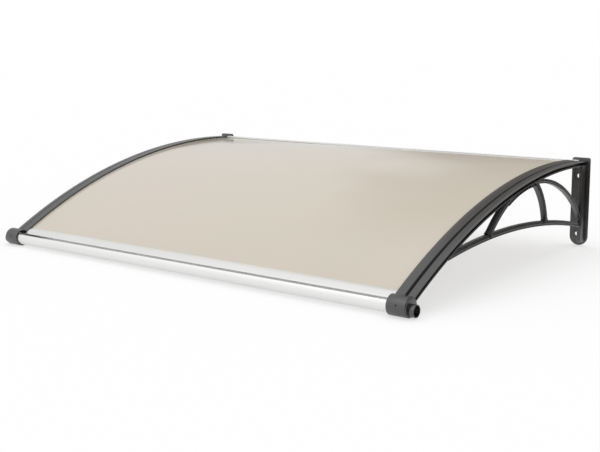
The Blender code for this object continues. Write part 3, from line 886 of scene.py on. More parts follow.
@dataclass
class WallPlate:
    """The upright plate on the wall, with its rib, screw holes and lower ring."""

    side: Side
    width: float = 0.0452
    over_rail: float = 0.0071
    thickness: float = 0.0050
    outset: float = 0.0058
    corner: float = 0.0050
    edge_round: float = 0.0011
    rib_depth: float = 0.0285
    rib_width: float = 0.0091
    rib_inset: float = 0.0002
    rib_foot: float = 0.0110
    rib_round: float = 0.0090
    hole_radius: float = 0.0052
    hole_offset: float = 0.0180
    hole_top_drop: float = 0.0452
    hole_low_z: float = 0.0277
    hole_flare: float = 0.0007
    ring_radius: float = 0.0105
    ring_height: float = 0.0018
    ring_sink: float = 0.0010
    pocket_depth: float = 0.0016
    pocket_radius: float = 0.0105
    pocket_rise: float = 0.0180
    dimple_radius: float = 0.0017
    dimple_depth: float = 0.0016
    dimple_drop: float = 0.0583
    dimple_steps: int = 24
    ring_round: float = 0.0009
    ring_mouth_round: float = 0.0006
    rib_segments: int = 12

    @property
    def outer(self) -> float:
        """Sideways place of the plate's outer side."""
        return ENDS.rail_outer + self.outset

    @property
    def inner(self) -> float:
        """Sideways place of the plate's inner side."""
        return self.outer - self.width

    @property
    def height(self) -> float:
        """Height of the plate's top."""
        return ARCH.wall_height + self.over_rail

    @property
    def hole_x(self) -> float:
        """Sideways place of the holes."""
        return self.inner + self.hole_offset

    @property
    def hole_top_z(self) -> float:
        """Height of the upper hole."""
        return self.height - self.hole_top_drop

    def at(self, x: float, forward: float, z: float) -> Vector:
        """A world point on this side."""
        return ARCH.place(self.side.value * x, (forward, z))

    def outline_points(self) -> list[Vector]:
        """The plate seen from the front: round at the foot, small round corners at the top.

        Returns:
            The corners in order.
        """
        half = self.width / 2
        middle = self.inner + half
        corner_z = self.height - self.corner
        flat = arc((middle, half), half, 180.0, 180.0, ROUND_STEPS // 2)
        flat += arc((self.outer - self.corner, corner_z), self.corner, 0.0, 90.0, CORNER_STEPS)
        flat += arc((self.inner + self.corner, corner_z), self.corner, 90.0, 90.0, CORNER_STEPS)
        return [self.at(point.x, 0.0, point.y) for point in flat]

    def plate(self) -> Object:
        """The plate with its front edge rounded and its holes cut.

        Returns:
            The plate.
        """
        shape = Shape()
        points = self.outline_points()
        face = shape.outline(points, [0.0] * len(points))
        front = shape.extrude(face, -Y_AXIS * self.thickness)[0]
        shape.soften(front.edges, self.edge_round)
        made = shape.finish(f"wall_plate_{self.side.tag}")
        carve(made, self.pocket_cutter())
        carve(made, self.hole_cutter(self.hole_top_z, self.thickness - self.pocket_depth))
        carve(made, self.hole_cutter(self.hole_low_z, self.thickness + OVERRUN))
        carve(made, self.dimple_cutter())
        return made

    def hole_cutter(self, z: float, front: float) -> Object:
        """A screw hole that flares a little at its front.

        Args:
            z: Height of its middle.
            front: How far forward of the wall its mouth is.

        Returns:
            The cutter.
        """
        radius = self.hole_radius
        depths = [(-OVERRUN, radius), (front - self.hole_flare, radius), (front, radius + self.hole_flare),
                  (self.thickness + OVERRUN * 2, radius + self.hole_flare)]
        cutter = Shape()
        corners = [self.at(self.hole_x + reach, forward, z) for forward, reach in depths]
        axis_points = [self.at(self.hole_x, depths[-1][0], z), self.at(self.hole_x, depths[0][0], z)]
        face = cutter.outline([*corners, *axis_points], [0.0] * (len(corners) + 2))
        cutter.turned(face, self.at(self.hole_x, 0.0, z), Y_AXIS, SMALL_ROUND_STEPS)
        return cutter.finish("hole_cutter")

    def pocket_cutter(self) -> Object:
        """The shallow pocket round the upper hole, round at the bottom.

        Returns:
            The cutter.
        """
        centre = (self.hole_x, self.hole_top_z)
        flat = arc(centre, self.pocket_radius, 180.0, 180.0, SMALL_ROUND_STEPS // 2)
        high = self.hole_top_z + self.pocket_rise
        flat += [Vector((self.hole_x + reach, high)) for reach in (self.pocket_radius, -self.pocket_radius)]
        cutter = Shape()
        start = self.thickness - self.pocket_depth
        face = cutter.outline([self.at(point.x, start, point.y) for point in flat], [0.0] * len(flat))
        cutter.extrude(face, -Y_AXIS * (self.pocket_depth + OVERRUN))
        return cutter.finish("pocket_cutter")

    def dimple_cutter(self) -> Object:
        """The small blind dimple between the holes.

        Returns:
            The cutter.
        """
        z = self.hole_top_z - self.dimple_drop
        cutter = Shape()
        cutter.rod(
            self.at(self.hole_x, self.thickness - self.dimple_depth, z),
            self.at(self.hole_x, self.thickness + OVERRUN, z), (self.dimple_radius, self.dimple_radius),
            self.dimple_steps)
        return cutter.finish("dimple_cutter")

    def ring(self) -> Object:
        """The raised ring round the lower hole.

        Returns:
            The ring.
        """
        low = self.thickness - self.ring_sink
        high = self.thickness + self.ring_height
        corners = [
            (self.hole_radius, low, 0.0), (self.ring_radius, low, 0.0),
            (self.ring_radius, high, self.ring_round), (self.hole_radius, high, self.ring_mouth_round),
        ]
        shape = Shape()
        points = [self.at(self.hole_x + reach, forward, self.hole_low_z) for reach, forward, _ in corners]
        face = shape.outline(points, [cut for _, _, cut in corners])
        shape.turned(face, self.at(self.hole_x, 0.0, self.hole_low_z), Y_AXIS, SMALL_ROUND_STEPS)
        return shape.finish(f"plate_ring_{self.side.tag}")

    def rib(self, rail: Rail) -> Object:
        """The upright rib, flush with the rail's outer side.

        Args:
            rail: The bracket's rail.

        Returns:
            The rib.
        """
        inside = self.thickness / 2
        front = self.thickness + self.rib_depth
        top = ARCH.point(inside, -(rail.flange_thickness + rail.height) / 2).y
        outer = ENDS.rail_outer - self.rib_inset
        outline = [
            (inside, self.rib_foot, 0.0), (front, self.rib_foot, self.rib_round), (front, top, 0.0),
            (inside, top, 0.0),
        ]
        shape = Shape()
        points = [self.at(outer - self.rib_width, forward, z) for forward, z, _ in outline]
        face = shape.outline(points, [cut for _, _, cut in outline], self.rib_segments)
        shape.extrude(face, X_AXIS * self.side.value * self.rib_width)
        shape.soften_sharp(self.edge_round)
        return shape.finish(f"plate_rib_{self.side.tag}")


@dataclass(frozen=True)
class StrutLine:
    """A circular arc in the side view that bows out between two points."""

    start: Vector
    end: Vector
    bow: float

    @cached_property
    def along(self) -> Vector:
        """Direction of the chord."""
        return (self.end - self.start).normalized()

    @cached_property
    def out(self) -> Vector:
        """Direction of the bow."""
        square = Vector((-self.along.y, self.along.x))
        return square if self.bow > 0 else -square

    @cached_property
    def radius(self) -> float:
        """Radius of the arc."""
        half = (self.end - self.start).length / 2
        return (half ** 2 + self.bow ** 2) / (2 * abs(self.bow))

    @cached_property
    def centre(self) -> Vector:
        """Centre of the arc."""
        return (self.start + self.end) / 2 - self.out * (self.radius - abs(self.bow))

    @cached_property
    def spread(self) -> float:
        """Half the arc's angle, in radians."""
        return math.asin((self.end - self.start).length / 2 / self.radius)

    def point(self, share: float) -> Vector:
        """The point at a share of the way along.

        Args:
            share: The share, from 0 to 1.

        Returns:
            The point.
        """
        turn = self.spread * (2 * share - 1)
        return self.centre + self.along * (self.radius * math.sin(turn)) + self.out * (
            self.radius * math.cos(turn))

    def at_forward(self, forward: float) -> Vector:
        """The point at a distance forward of the wall, for a line that runs forward."""
        return self.point(turning_point(0.0, 1.0, lambda share: self.point(share).x < forward))


@dataclass
class Openwork:
    """The tie and the three struts between the rail and the plate."""

    side: Side
    width: float = 0.0122
    inset: float = 0.0013
    edge_round: float = 0.0022
    sink: float = 0.0098
    foot_sink: float = 0.0066
    foot_rise: float = 0.0028
    flare: float = 0.0035
    flare_reach: float = 0.0140
    rim_share: float = 0.46
    recess: float = 0.0018
    ledge: float = 0.0018
    rim_round: float = 0.0011
    recess_round: float = 0.0005
    head_run: float = 0.0040
    least_slant: float = 0.090
    near_head: float = 0.98
    tie_thickness: float = 0.0115
    tie_wall_z: float = 0.0484
    tie_front: float = 0.6738
    tie_rise: float = 0.0314
    strut_1: tuple[float, float, float, float] = (0.0126, 0.5019, 0.3800, 0.0095)
    strut_2: tuple[float, float, float, float] = (0.0144, 0.2241, 0.2896, 0.0131)
    strut_3: tuple[float, float, float, float] = (0.0101, 0.0758, 0.3229, 0.0389)
    segments: int = 6
    steps: int = 64
    cutter_steps: int = 90

    def lines(self, plate: WallPlate) -> dict[str, tuple[StrutLine, float]]:
        """Each piece's line and thickness, by name.

        Args:
            plate: The bracket's wall plate.

        Returns:
            The tie and the three struts.
        """
        tie_start = Vector((plate.thickness / 2, self.tie_wall_z))
        tie = StrutLine(tie_start, ARCH.point(self.tie_front, -self.sink), self.tie_rise)
        thick_1, foot_1, head_1, bow_1 = self.strut_1
        thick_2, foot_2, head_2, bow_2 = self.strut_2
        thick_3, foot_3, head_3, bow_3 = self.strut_3
        rib_front = plate.thickness + plate.rib_depth
        foot = Vector((rib_front - self.foot_sink, foot_3))
        return {
            "tie": (tie, self.tie_thickness),
            "strut_1": (StrutLine(tie.at_forward(foot_1), ARCH.point(head_1, -self.sink), -bow_1), thick_1),
            "strut_2": (StrutLine(tie.at_forward(foot_2), ARCH.point(head_2, -self.sink), bow_2), thick_2),
            "strut_3": (StrutLine(foot, ARCH.point(head_3, -self.sink), bow_3), thick_3),
        }

    def bar(self, name: str, line: StrutLine, thickness: float) -> Object:
        """One bent bar, wider where it flows into its neighbour.

        Args:
            name: The object's name.
            line: Its middle line.
            thickness: Its thickness in the side view.

        Returns:
            The object.
        """
        outer = ENDS.rail_outer - self.inset
        half = thickness / 2
        share = 0.0 if name == "tie" else self.foot_rise / (line.end - line.start).length
        start = line.point(share)
        out = (start - line.centre).normalized()
        inner = outer - self.width
        step = thickness * self.rim_share - half
        corners = [
            (inner, -half, self.edge_round), (inner, half, self.edge_round),
            (outer - self.recess, half, self.recess_round), (outer - self.recess, step, self.recess_round),
            (outer, step - self.ledge, self.recess_round), (outer, -half, self.rim_round),
        ]
        points = [ARCH.place(self.side.value * x, start + out * up) for x, up, _ in corners]
        shape = Shape()
        face = shape.outline(points, [cut for _, _, cut in corners], self.segments)
        after = (line.point(1.0) - line.centre).normalized()
        turn = out.angle_signed(after)
        ends = [start]
        if name != "tie":
            turn *= 1 + self.head_length(line, half) / (abs(turn) * line.radius)
            ends.append(line.point(1.0))
        shape.sweep(face, ARCH.place(0.0, line.centre), turn, self.steps)
        for end in ends:
            self.widen(shape, line, end, half)
        made = shape.finish(f"{name}_{self.side.tag}")
        carve(made, self.rail_cutter())
        return made

    def head_length(self, line: StrutLine, half: float) -> float:
        """How much further a strut runs so that its whole head is under the rail.

        Args:
            line: The strut's middle line.
            half: Half its thickness.

        Returns:
            The extra length.
        """
        head = line.point(1.0)
        along = head - line.point(self.near_head)
        rail_way = ARCH.point(head.x + CLEARANCE) - ARCH.point(head.x)
        slant = max(abs(math.tan(along.angle(rail_way))), self.least_slant)
        return (half + self.flare) / slant + self.head_run

    def rail_cutter(self) -> Object:
        """The space above the rail's lower lip, which the bars stop short of.

        Returns:
            The cutter.
        """
        cutter = Shape()
        middle = Rail.lip_thickness / 2 - Rail.height
        xs = (ENDS.rail_inner - OVERRUN, ENDS.collar_outer + OVERRUN)
        corners = [(xs[0], middle), (xs[1], middle), (xs[1], self.width * 2), (xs[0], self.width * 2)]
        along_arch(
            cutter, [(self.side.value * x, lift, 0.0) for x, lift in corners],
            (self.sink * 2, self.tie_front + self.flare_reach * 4), self.cutter_steps)
        return cutter.finish("rail_cutter")

    def widen(self, shape: Shape, line: StrutLine, end: Vector, half: float) -> None:
        """Thickens a bar near one of its ends, square to its line.

        Args:
            shape: The bar's mesh.
            line: Its middle line.
            end: The end, as (forward, height).
            half: Half its thickness.
        """
        middle = line.point(0.5)
        reach = (end - line.centre).angle(middle - line.centre)
        for vert in shape.bm.verts:
            place = Vector((ARCH.wall_y - vert.co.y, vert.co.z))
            spoke = place - line.centre
            lift = spoke.length - line.radius
            gone = max(0.0, reach - spoke.angle(middle - line.centre)) * line.radius
            if gone < self.flare_reach and (place - middle).dot(end - middle) > 0.0:
                extra = self.flare * (1 - gone / self.flare_reach) ** 2
                moved = line.centre + spoke.normalized() * (line.radius + lift * (half + extra) / half)
                vert.co = ARCH.place(vert.co.x, moved)

    def build(self, plate: WallPlate) -> list[Object]:
        """All four bars."""
        return [self.bar(name, line, thickness) for name, (line, thickness) in self.lines(plate).items()]


@dataclass
class Collar:
    """The round collar at the rail's front end, which closes the gutter."""

    side: Side
    end_round: float = 0.0010
    mouth_round: float = 0.0007
    overlap: float = 0.0020
    screw_angle: float = 14.0
    screw_seat: float = 0.0013
    seat_radius: float = 0.0023
    slot_steps: int = 24

    def at(self, x: float, reach: float, turn: float = 90.0) -> Vector:
        """A world point at a distance from the axis, turned up from straight forward in degrees.

        Args:
            x: Sideways place, as on the right.
            reach: Distance from the axis.
            turn: Direction from the axis, in degrees up from straight forward.

        Returns:
            The point.
        """
        angle = math.radians(turn)
        offset = Vector((math.cos(angle), math.sin(angle))) * reach
        return ARCH.place(self.side.value * x, ARCH.axis + offset)

    def build(self) -> Object:
        """The collar with its bore, the sheet's slot and the screw's seat.

        Returns:
            The collar.
        """
        mouth = ENDS.collar_inner - self.overlap
        corners = [
            (mouth, GUTTER.bore, self.mouth_round),
            (mouth, ARCH.collar_radius, self.end_round),
            (ENDS.collar_outer, ARCH.collar_radius, self.end_round),
            (ENDS.collar_outer, GUTTER.bore, self.mouth_round),
        ]
        shape = Shape()
        face = shape.outline([self.at(x, reach) for x, reach, _ in corners], [cut for _, _, cut in corners])
        shape.turned(face, self.at(mouth, 0.0), X_AXIS)
        made = shape.finish(f"collar_{self.side.tag}")
        carve(made, self.slot_cutter())
        carve(made, self.seat_cutter())
        return made

    def slot_cutter(self) -> Object:
        """The slot that the sheet's front corner goes through.

        Returns:
            The cutter.
        """
        inner = self.side.value * (ENDS.collar_inner - self.overlap - OVERRUN)
        outer = self.side.value * (ENDS.sheet_edge + CLEARANCE)
        low, high = SHEET_FIT.slot_under, SHEET_FIT.slot_top
        cutter = Shape()
        along_arch(
            cutter, [(inner, low, 0.0), (outer, low, 0.0), (outer, high, 0.0), (inner, high, 0.0)],
            (ARCH.axis.x - ARCH.collar_radius * 2, ARCH.axis.x), self.slot_steps)
        return cutter.finish("slot_cutter")

    def seat_cutter(self) -> Object:
        """The round seat that the screw's head sits in.

        Returns:
            The cutter.
        """
        cutter = Shape()
        middle = (ENDS.collar_inner + ENDS.collar_outer) / 2
        start = self.at(middle, ARCH.collar_radius - self.screw_seat, self.screw_angle)
        end = self.at(middle, ARCH.collar_radius + OVERRUN, self.screw_angle)
        cutter.rod(start, end, (self.seat_radius, self.seat_radius), SCREW_STEPS)
        return cutter.finish("seat_cutter")


@dataclass
class CollarScrew:
    """The small screw in a collar's front, with a cross recess."""

    side: Side
    head_radius: float = 0.0020
    head_taper: float = 0.86
    head_height: float = 0.0010
    head_round: float = 0.0002
    head_steps: int = 40
    rim_angle: float = 0.8
    shank_radius: float = 0.0012
    shank_steps: int = 24
    recess_width: float = 0.0005
    recess_length: float = 0.0022
    recess_depth: float = 0.0005

    def build(self, collar: Collar) -> Object:
        """The screw, headed outwards.

        Args:
            collar: The collar that it sits in.

        Returns:
            The screw.
        """
        middle = (ENDS.collar_inner + ENDS.collar_outer) / 2
        turn = collar.screw_angle
        shape = Shape()
        top = ARCH.collar_radius
        head = shape.rod(
            collar.at(middle, top - self.head_height, turn), collar.at(middle, top, turn),
            (self.head_radius, self.head_radius * self.head_taper), self.head_steps)
        edges = {edge for vert in head for edge in vert.link_edges}
        shape.soften({edge for edge in edges if edge.calc_face_angle(0.0) > self.rim_angle}, self.head_round)
        shape.rod(
            collar.at(middle, GUTTER.bore + CLEARANCE, turn),
            collar.at(middle, top - self.head_height / 2, turn),
            (self.shank_radius, self.shank_radius), self.shank_steps)
        made = shape.finish(f"collar_screw_{self.side.tag}")
        for twist in (0.0, 90.0):
            carve(made, self.recess_cutter(collar, middle, twist))
        return made

    def recess_cutter(self, collar: Collar, middle: float, twist: float) -> Object:
        """One arm of the cross recess.

        Args:
            collar: The collar that the screw sits in.
            middle: Sideways place of the screw.
            twist: The arm's turn, in degrees.

        Returns:
            The cutter.
        """
        out = (collar.at(middle, 1.0, collar.screw_angle) - collar.at(middle, 0.0)).normalized()
        seat = collar.at(middle, ARCH.collar_radius, collar.screw_angle)
        size = Vector((self.recess_length, self.recess_width, self.recess_depth * 2))
        cutter = Shape()
        cutter.block(-size / 2, size / 2)
        turn = out.to_track_quat("Z", "X").to_matrix().to_4x4()
        spin = Matrix.Rotation(math.radians(twist), 4, "Z")
        bmesh.ops.transform(
            cutter.bm, verts=cutter.bm.verts, matrix=Matrix.Translation(seat) @ turn @ spin)
        return cutter.finish("recess_cutter")


@dataclass
class DrainCap:
    """The plug in a collar's outer end, with the drain spigot low on its face."""

    side: Side
    inset: float = 0.0011
    rim_round: float = 0.0008
    plug_round: float = 0.0006
    seat_round: float = 0.0003
    drain_radius: float = 0.0108
    drain_floor: float = 0.0009
    spigot_wall: float = 0.0018
    spigot_length: float = 0.0117
    lip_round: float = 0.0007

    @property
    def plug_radius(self) -> float:
        """Radius of the plug inside the collar."""
        return GUTTER.bore - CLEARANCE

    @property
    def drain_centre(self) -> Vector:
        """The drain's axis as (forward, height)."""
        return ARCH.axis - Vector((0.0, self.plug_radius - self.drain_radius - self.drain_floor))

    def at(self, x: float, centre: Vector, reach: float) -> Vector:
        """A world point above a sideways axis on this side."""
        return ARCH.place(self.side.value * x, centre + Vector((0.0, reach)))

    def turned(self, name: str, corners: Sequence[Corner], centre: Vector) -> Object:
        """A ring or disc turned about a sideways axis from (x, radius, rounding) corners.

        Args:
            name: The object's name.
            corners: The section's corners.
            centre: The axis.

        Returns:
            The object.
        """
        shape = Shape()
        points = [self.at(x, centre, reach) for x, reach, _ in corners]
        face = shape.outline(points, [cut for _, _, cut in corners])
        shape.turned(face, self.at(corners[0][0], centre, 0.0), X_AXIS)
        return shape.finish(name)

    def build(self) -> Object:
        """The cap with its spigot and the drain through both.

        Returns:
            The cap.
        """
        plug_end = ENDS.collar_outer - ENDS.plug_length
        seat = ENDS.collar_outer + CLEARANCE
        rim = ARCH.collar_radius - self.inset
        cap = self.turned(f"drain_cap_{self.side.tag}", [
            (plug_end, 0.0, 0.0), (plug_end, self.plug_radius, self.plug_round),
            (seat, self.plug_radius, 0.0), (seat, rim, self.seat_round),
            (ENDS.cap_outer, rim, self.rim_round), (ENDS.cap_outer, 0.0, 0.0),
        ], ARCH.axis)
        end = ENDS.cap_outer + self.spigot_length
        outer = self.drain_radius + self.spigot_wall
        spigot = self.turned("spigot", [
            (ENDS.cap_outer - self.rim_round, 0.0, 0.0), (ENDS.cap_outer - self.rim_round, outer, 0.0),
            (end, outer, self.lip_round), (end, 0.0, 0.0),
        ], self.drain_centre)
        carve(cap, spigot, "UNION")
        flare = self.lip_round
        bore = self.turned("drain_cutter", [
            (plug_end - OVERRUN, 0.0, 0.0), (plug_end - OVERRUN, self.drain_radius, 0.0),
            (end - flare, self.drain_radius, 0.0), (end + OVERRUN, self.drain_radius + flare + OVERRUN, 0.0),
            (end + OVERRUN, 0.0, 0.0),
        ], self.drain_centre)
        carve(cap, bore)
        return cap


@dataclass
class Bracket:
    """One moulded bracket, with its screw and its drain cap."""

    side: Side

    def build(self, finishes: Finishes) -> None:
        """Builds, dresses and enters the bracket's pieces.

        Args:
            finishes: The canopy's materials.
        """
        node = f"bracket_{self.side.tag}"
        plate = WallPlate(self.side)
        rail = Rail(self.side)
        collar = Collar(self.side)
        pieces = [rail.build(plate), plate.plate(), plate.ring(), plate.rib(rail), collar.build()]
        pieces += Openwork(self.side).build(plate)
        for piece in pieces:
            enter(piece, node, finishes.plastic)
        screw = CollarScrew(self.side).build(collar)
        enter(screw, f"collar_screw_{self.side.tag}", finishes.steel)
        enter(DrainCap(self.side).build(), f"drain_cap_{self.side.tag}", finishes.plastic)


@dataclass
class CanopySheet:
    """The bent sheet."""

    edge_round: float = 0.0005
    steps: int = 160

    def build(self, finishes: Finishes) -> None:
        """Builds, dresses and enters the sheet.

        Args:
            finishes: The canopy's materials.
        """
        rear = WallPlate.thickness + CLEARANCE + GUTTER.jaw_wall + CLEARANCE
        front = ARCH.axis.x - GUTTER.jaw_front - GUTTER.jaw_wall - CLEARANCE
        edge = ENDS.sheet_edge
        corners = [
            (-edge, SHEET_FIT.under, self.edge_round), (edge, SHEET_FIT.under, self.edge_round),
            (edge, SHEET_FIT.top, self.edge_round), (-edge, SHEET_FIT.top, self.edge_round),
        ]
        shape = Shape()
        along_arch(shape, corners, (rear, front), self.steps)
        enter(shape.finish("bent_sheet"), "canopy_sheet", finishes.sheet)


@dataclass
class GutterBar:
    """The front bar: an open tube that collects the rain, and a jaw for the sheet's front edge."""

    jaw_round: float = 0.0006
    ramp_edge: float = 0.0003
    jaw_cut_start: float = 95.0
    jaw_cut_sweep: float = 80.0
    jaw_trace: float = 0.00005
    arc_steps: int = 72
    lip_steps: int = 6

    @staticmethod
    def back_meeting(radius: float, lift: float) -> Vector:
        """Where a line along the arch leaves a circle about the axis, towards the wall.

        Args:
            radius: The circle's radius.
            lift: The line's lift off the arch.

        Returns:
            The (forward, height) of that point.
        """
        back = turning_point(
            0.0, radius, lambda way: (ARCH.point(ARCH.axis.x - way, lift) - ARCH.axis).length < radius)
        return ARCH.point(ARCH.axis.x - back, lift)

    @staticmethod
    def turn_of(point: Vector) -> float:
        """A point's direction from the axis, in degrees up from straight forward."""
        offset = point - ARCH.axis
        return math.degrees(math.atan2(offset.y, offset.x)) % 360.0

    def section(self) -> tuple[list[Vector], list[float]]:
        """The section's points as (forward, height), and each one's rounding.

        Returns:
            The points and the roundings.
        """
        inner_radius = GUTTER.radius - GUTTER.wall
        under = SHEET_FIT.slot_under - GUTTER.jaw_wall
        top = SHEET_FIT.slot_top + GUTTER.jaw_wall
        lip = GUTTER.lip_angle
        outer_end = self.turn_of(self.back_meeting(GUTTER.radius, under))
        inner_start = self.turn_of(self.back_meeting(inner_radius, under))
        outer = arc(ARCH.axis, GUTTER.radius, lip, outer_end - 360.0 - lip, self.arc_steps)
        inner = arc(ARCH.axis, inner_radius, inner_start, 360.0 + lip - inner_start, self.arc_steps)
        lip_centre = arc(ARCH.axis, GUTTER.radius - GUTTER.wall / 2, lip, 1.0, 1)[0]
        lip_points = arc(lip_centre, GUTTER.wall / 2, lip + 180.0, -180.0, self.lip_steps)[1:-1]
        front = ARCH.axis.x - GUTTER.jaw_front
        nose = ARCH.axis.x - GUTTER.jaw_nose
        closed = front - GUTTER.jaw_wall
        low_end = ARCH.axis.x - GUTTER.jaw_low_reach
        top_end = ARCH.axis.x - GUTTER.jaw_top_reach
        jaw = [
            (ARCH.point(low_end, under), 0.0), (ARCH.point(low_end, SHEET_FIT.slot_under), 0.0),
            (ARCH.point(closed, SHEET_FIT.slot_under), 0.0), (ARCH.point(closed, SHEET_FIT.slot_top), 0.0),
            (ARCH.point(top_end, SHEET_FIT.slot_top), 0.0),
            (ARCH.point(top_end, SHEET_FIT.slot_top + self.ramp_edge), 0.0),
            (ARCH.point(top_end + GUTTER.jaw_ramp, top), GUTTER.jaw_ramp / 2),
            (ARCH.point(nose, top), self.jaw_round), (ARCH.point(nose, SHEET_FIT.slot_top), 0.0),
            (ARCH.point(front, SHEET_FIT.slot_top), 0.0), (ARCH.point(front, under), 0.0),
        ]
        points = outer + [point for point, _ in jaw] + inner + lip_points
        cuts = [0.0] * len(outer) + [cut for _, cut in jaw] + [0.0] * (len(inner) + len(lip_points))
        return points, cuts

    def jaw_cutter(self, side: Side) -> Object:
        """What takes the jaw off the tube beyond a rail's inner edge.

        Args:
            side: The end.

        Returns:
            The cutter.
        """
        inside = arc(
            ARCH.axis, GUTTER.radius + self.jaw_trace, self.jaw_cut_start, self.jaw_cut_sweep,
            SMALL_ROUND_STEPS)
        reach = ARCH.collar_radius + GUTTER.jaw_top_reach + OVERRUN
        end = self.jaw_cut_start + self.jaw_cut_sweep
        outside = arc(ARCH.axis, reach, end, -self.jaw_cut_sweep, CORNER_STEPS)
        start = side.value * (ENDS.rail_inner - CLEARANCE)
        cutter = Shape()
        points = [ARCH.place(start, point) for point in inside + outside]
        face = cutter.outline(points, [0.0] * len(points))
        cutter.extrude(face, X_AXIS * (side.value * (ENDS.gutter_end + OVERRUN) - start))
        return cutter.finish("jaw_cutter")

    def build(self, finishes: Finishes) -> None:
        """Builds, dresses and enters the bar.

        Args:
            finishes: The canopy's materials.
        """
        points, cuts = self.section()
        shape = Shape()
        face = shape.outline([ARCH.place(-ENDS.gutter_end, point) for point in points], cuts)
        shape.extrude(face, X_AXIS * 2 * ENDS.gutter_end)
        bar = shape.finish("front_gutter_bar")
        for side in Side:
            carve(bar, self.jaw_cutter(side))
        enter(bar, "gutter_bar", finishes.aluminium)


@dataclass
class RearBar:
    """The bar along the wall that holds the sheet's rear edge."""

    depth: float = 0.0340
    low_depth: float = 0.0240
    upstand: float = 0.0034
    leg: float = 0.0110
    edge_round: float = 0.0005

    def build(self, finishes: Finishes) -> None:
        """Builds, dresses and enters the bar.

        Args:
            finishes: The canopy's materials.
        """
        back = WallPlate.thickness + CLEARANCE
        leg_front = back + GUTTER.jaw_wall
        top = SHEET_FIT.slot_top + GUTTER.jaw_wall
        under = SHEET_FIT.slot_under - GUTTER.jaw_wall
        leg_top = ARCH.point(back, SHEET_FIT.top + self.upstand).y
        leg_foot = ARCH.point(back, SHEET_FIT.under - self.leg).y
        outline = [
            (Vector((back, leg_foot)), 0.0), (Vector((leg_front, leg_foot)), self.edge_round),
            (ARCH.point(leg_front, under), 0.0), (ARCH.point(self.low_depth, under), self.edge_round),
            (ARCH.point(self.low_depth, SHEET_FIT.slot_under), 0.0),
            (ARCH.point(leg_front, SHEET_FIT.slot_under), 0.0),
            (ARCH.point(leg_front, SHEET_FIT.slot_top), 0.0),
            (ARCH.point(self.depth, SHEET_FIT.slot_top), 0.0),
            (ARCH.point(self.depth, top), self.edge_round), (ARCH.point(leg_front, top), 0.0),
            (Vector((leg_front, leg_top)), self.edge_round), (Vector((back, leg_top)), self.edge_round),
        ]
        shape = Shape()
        points = [ARCH.place(-ENDS.sheet_edge, point) for point, _ in outline]
        face = shape.outline(points, [cut for _, cut in outline])
        shape.extrude(face, X_AXIS * 2 * ENDS.sheet_edge)
        enter(shape.finish("rear_sheet_bar"), "rear_bar", finishes.aluminium)


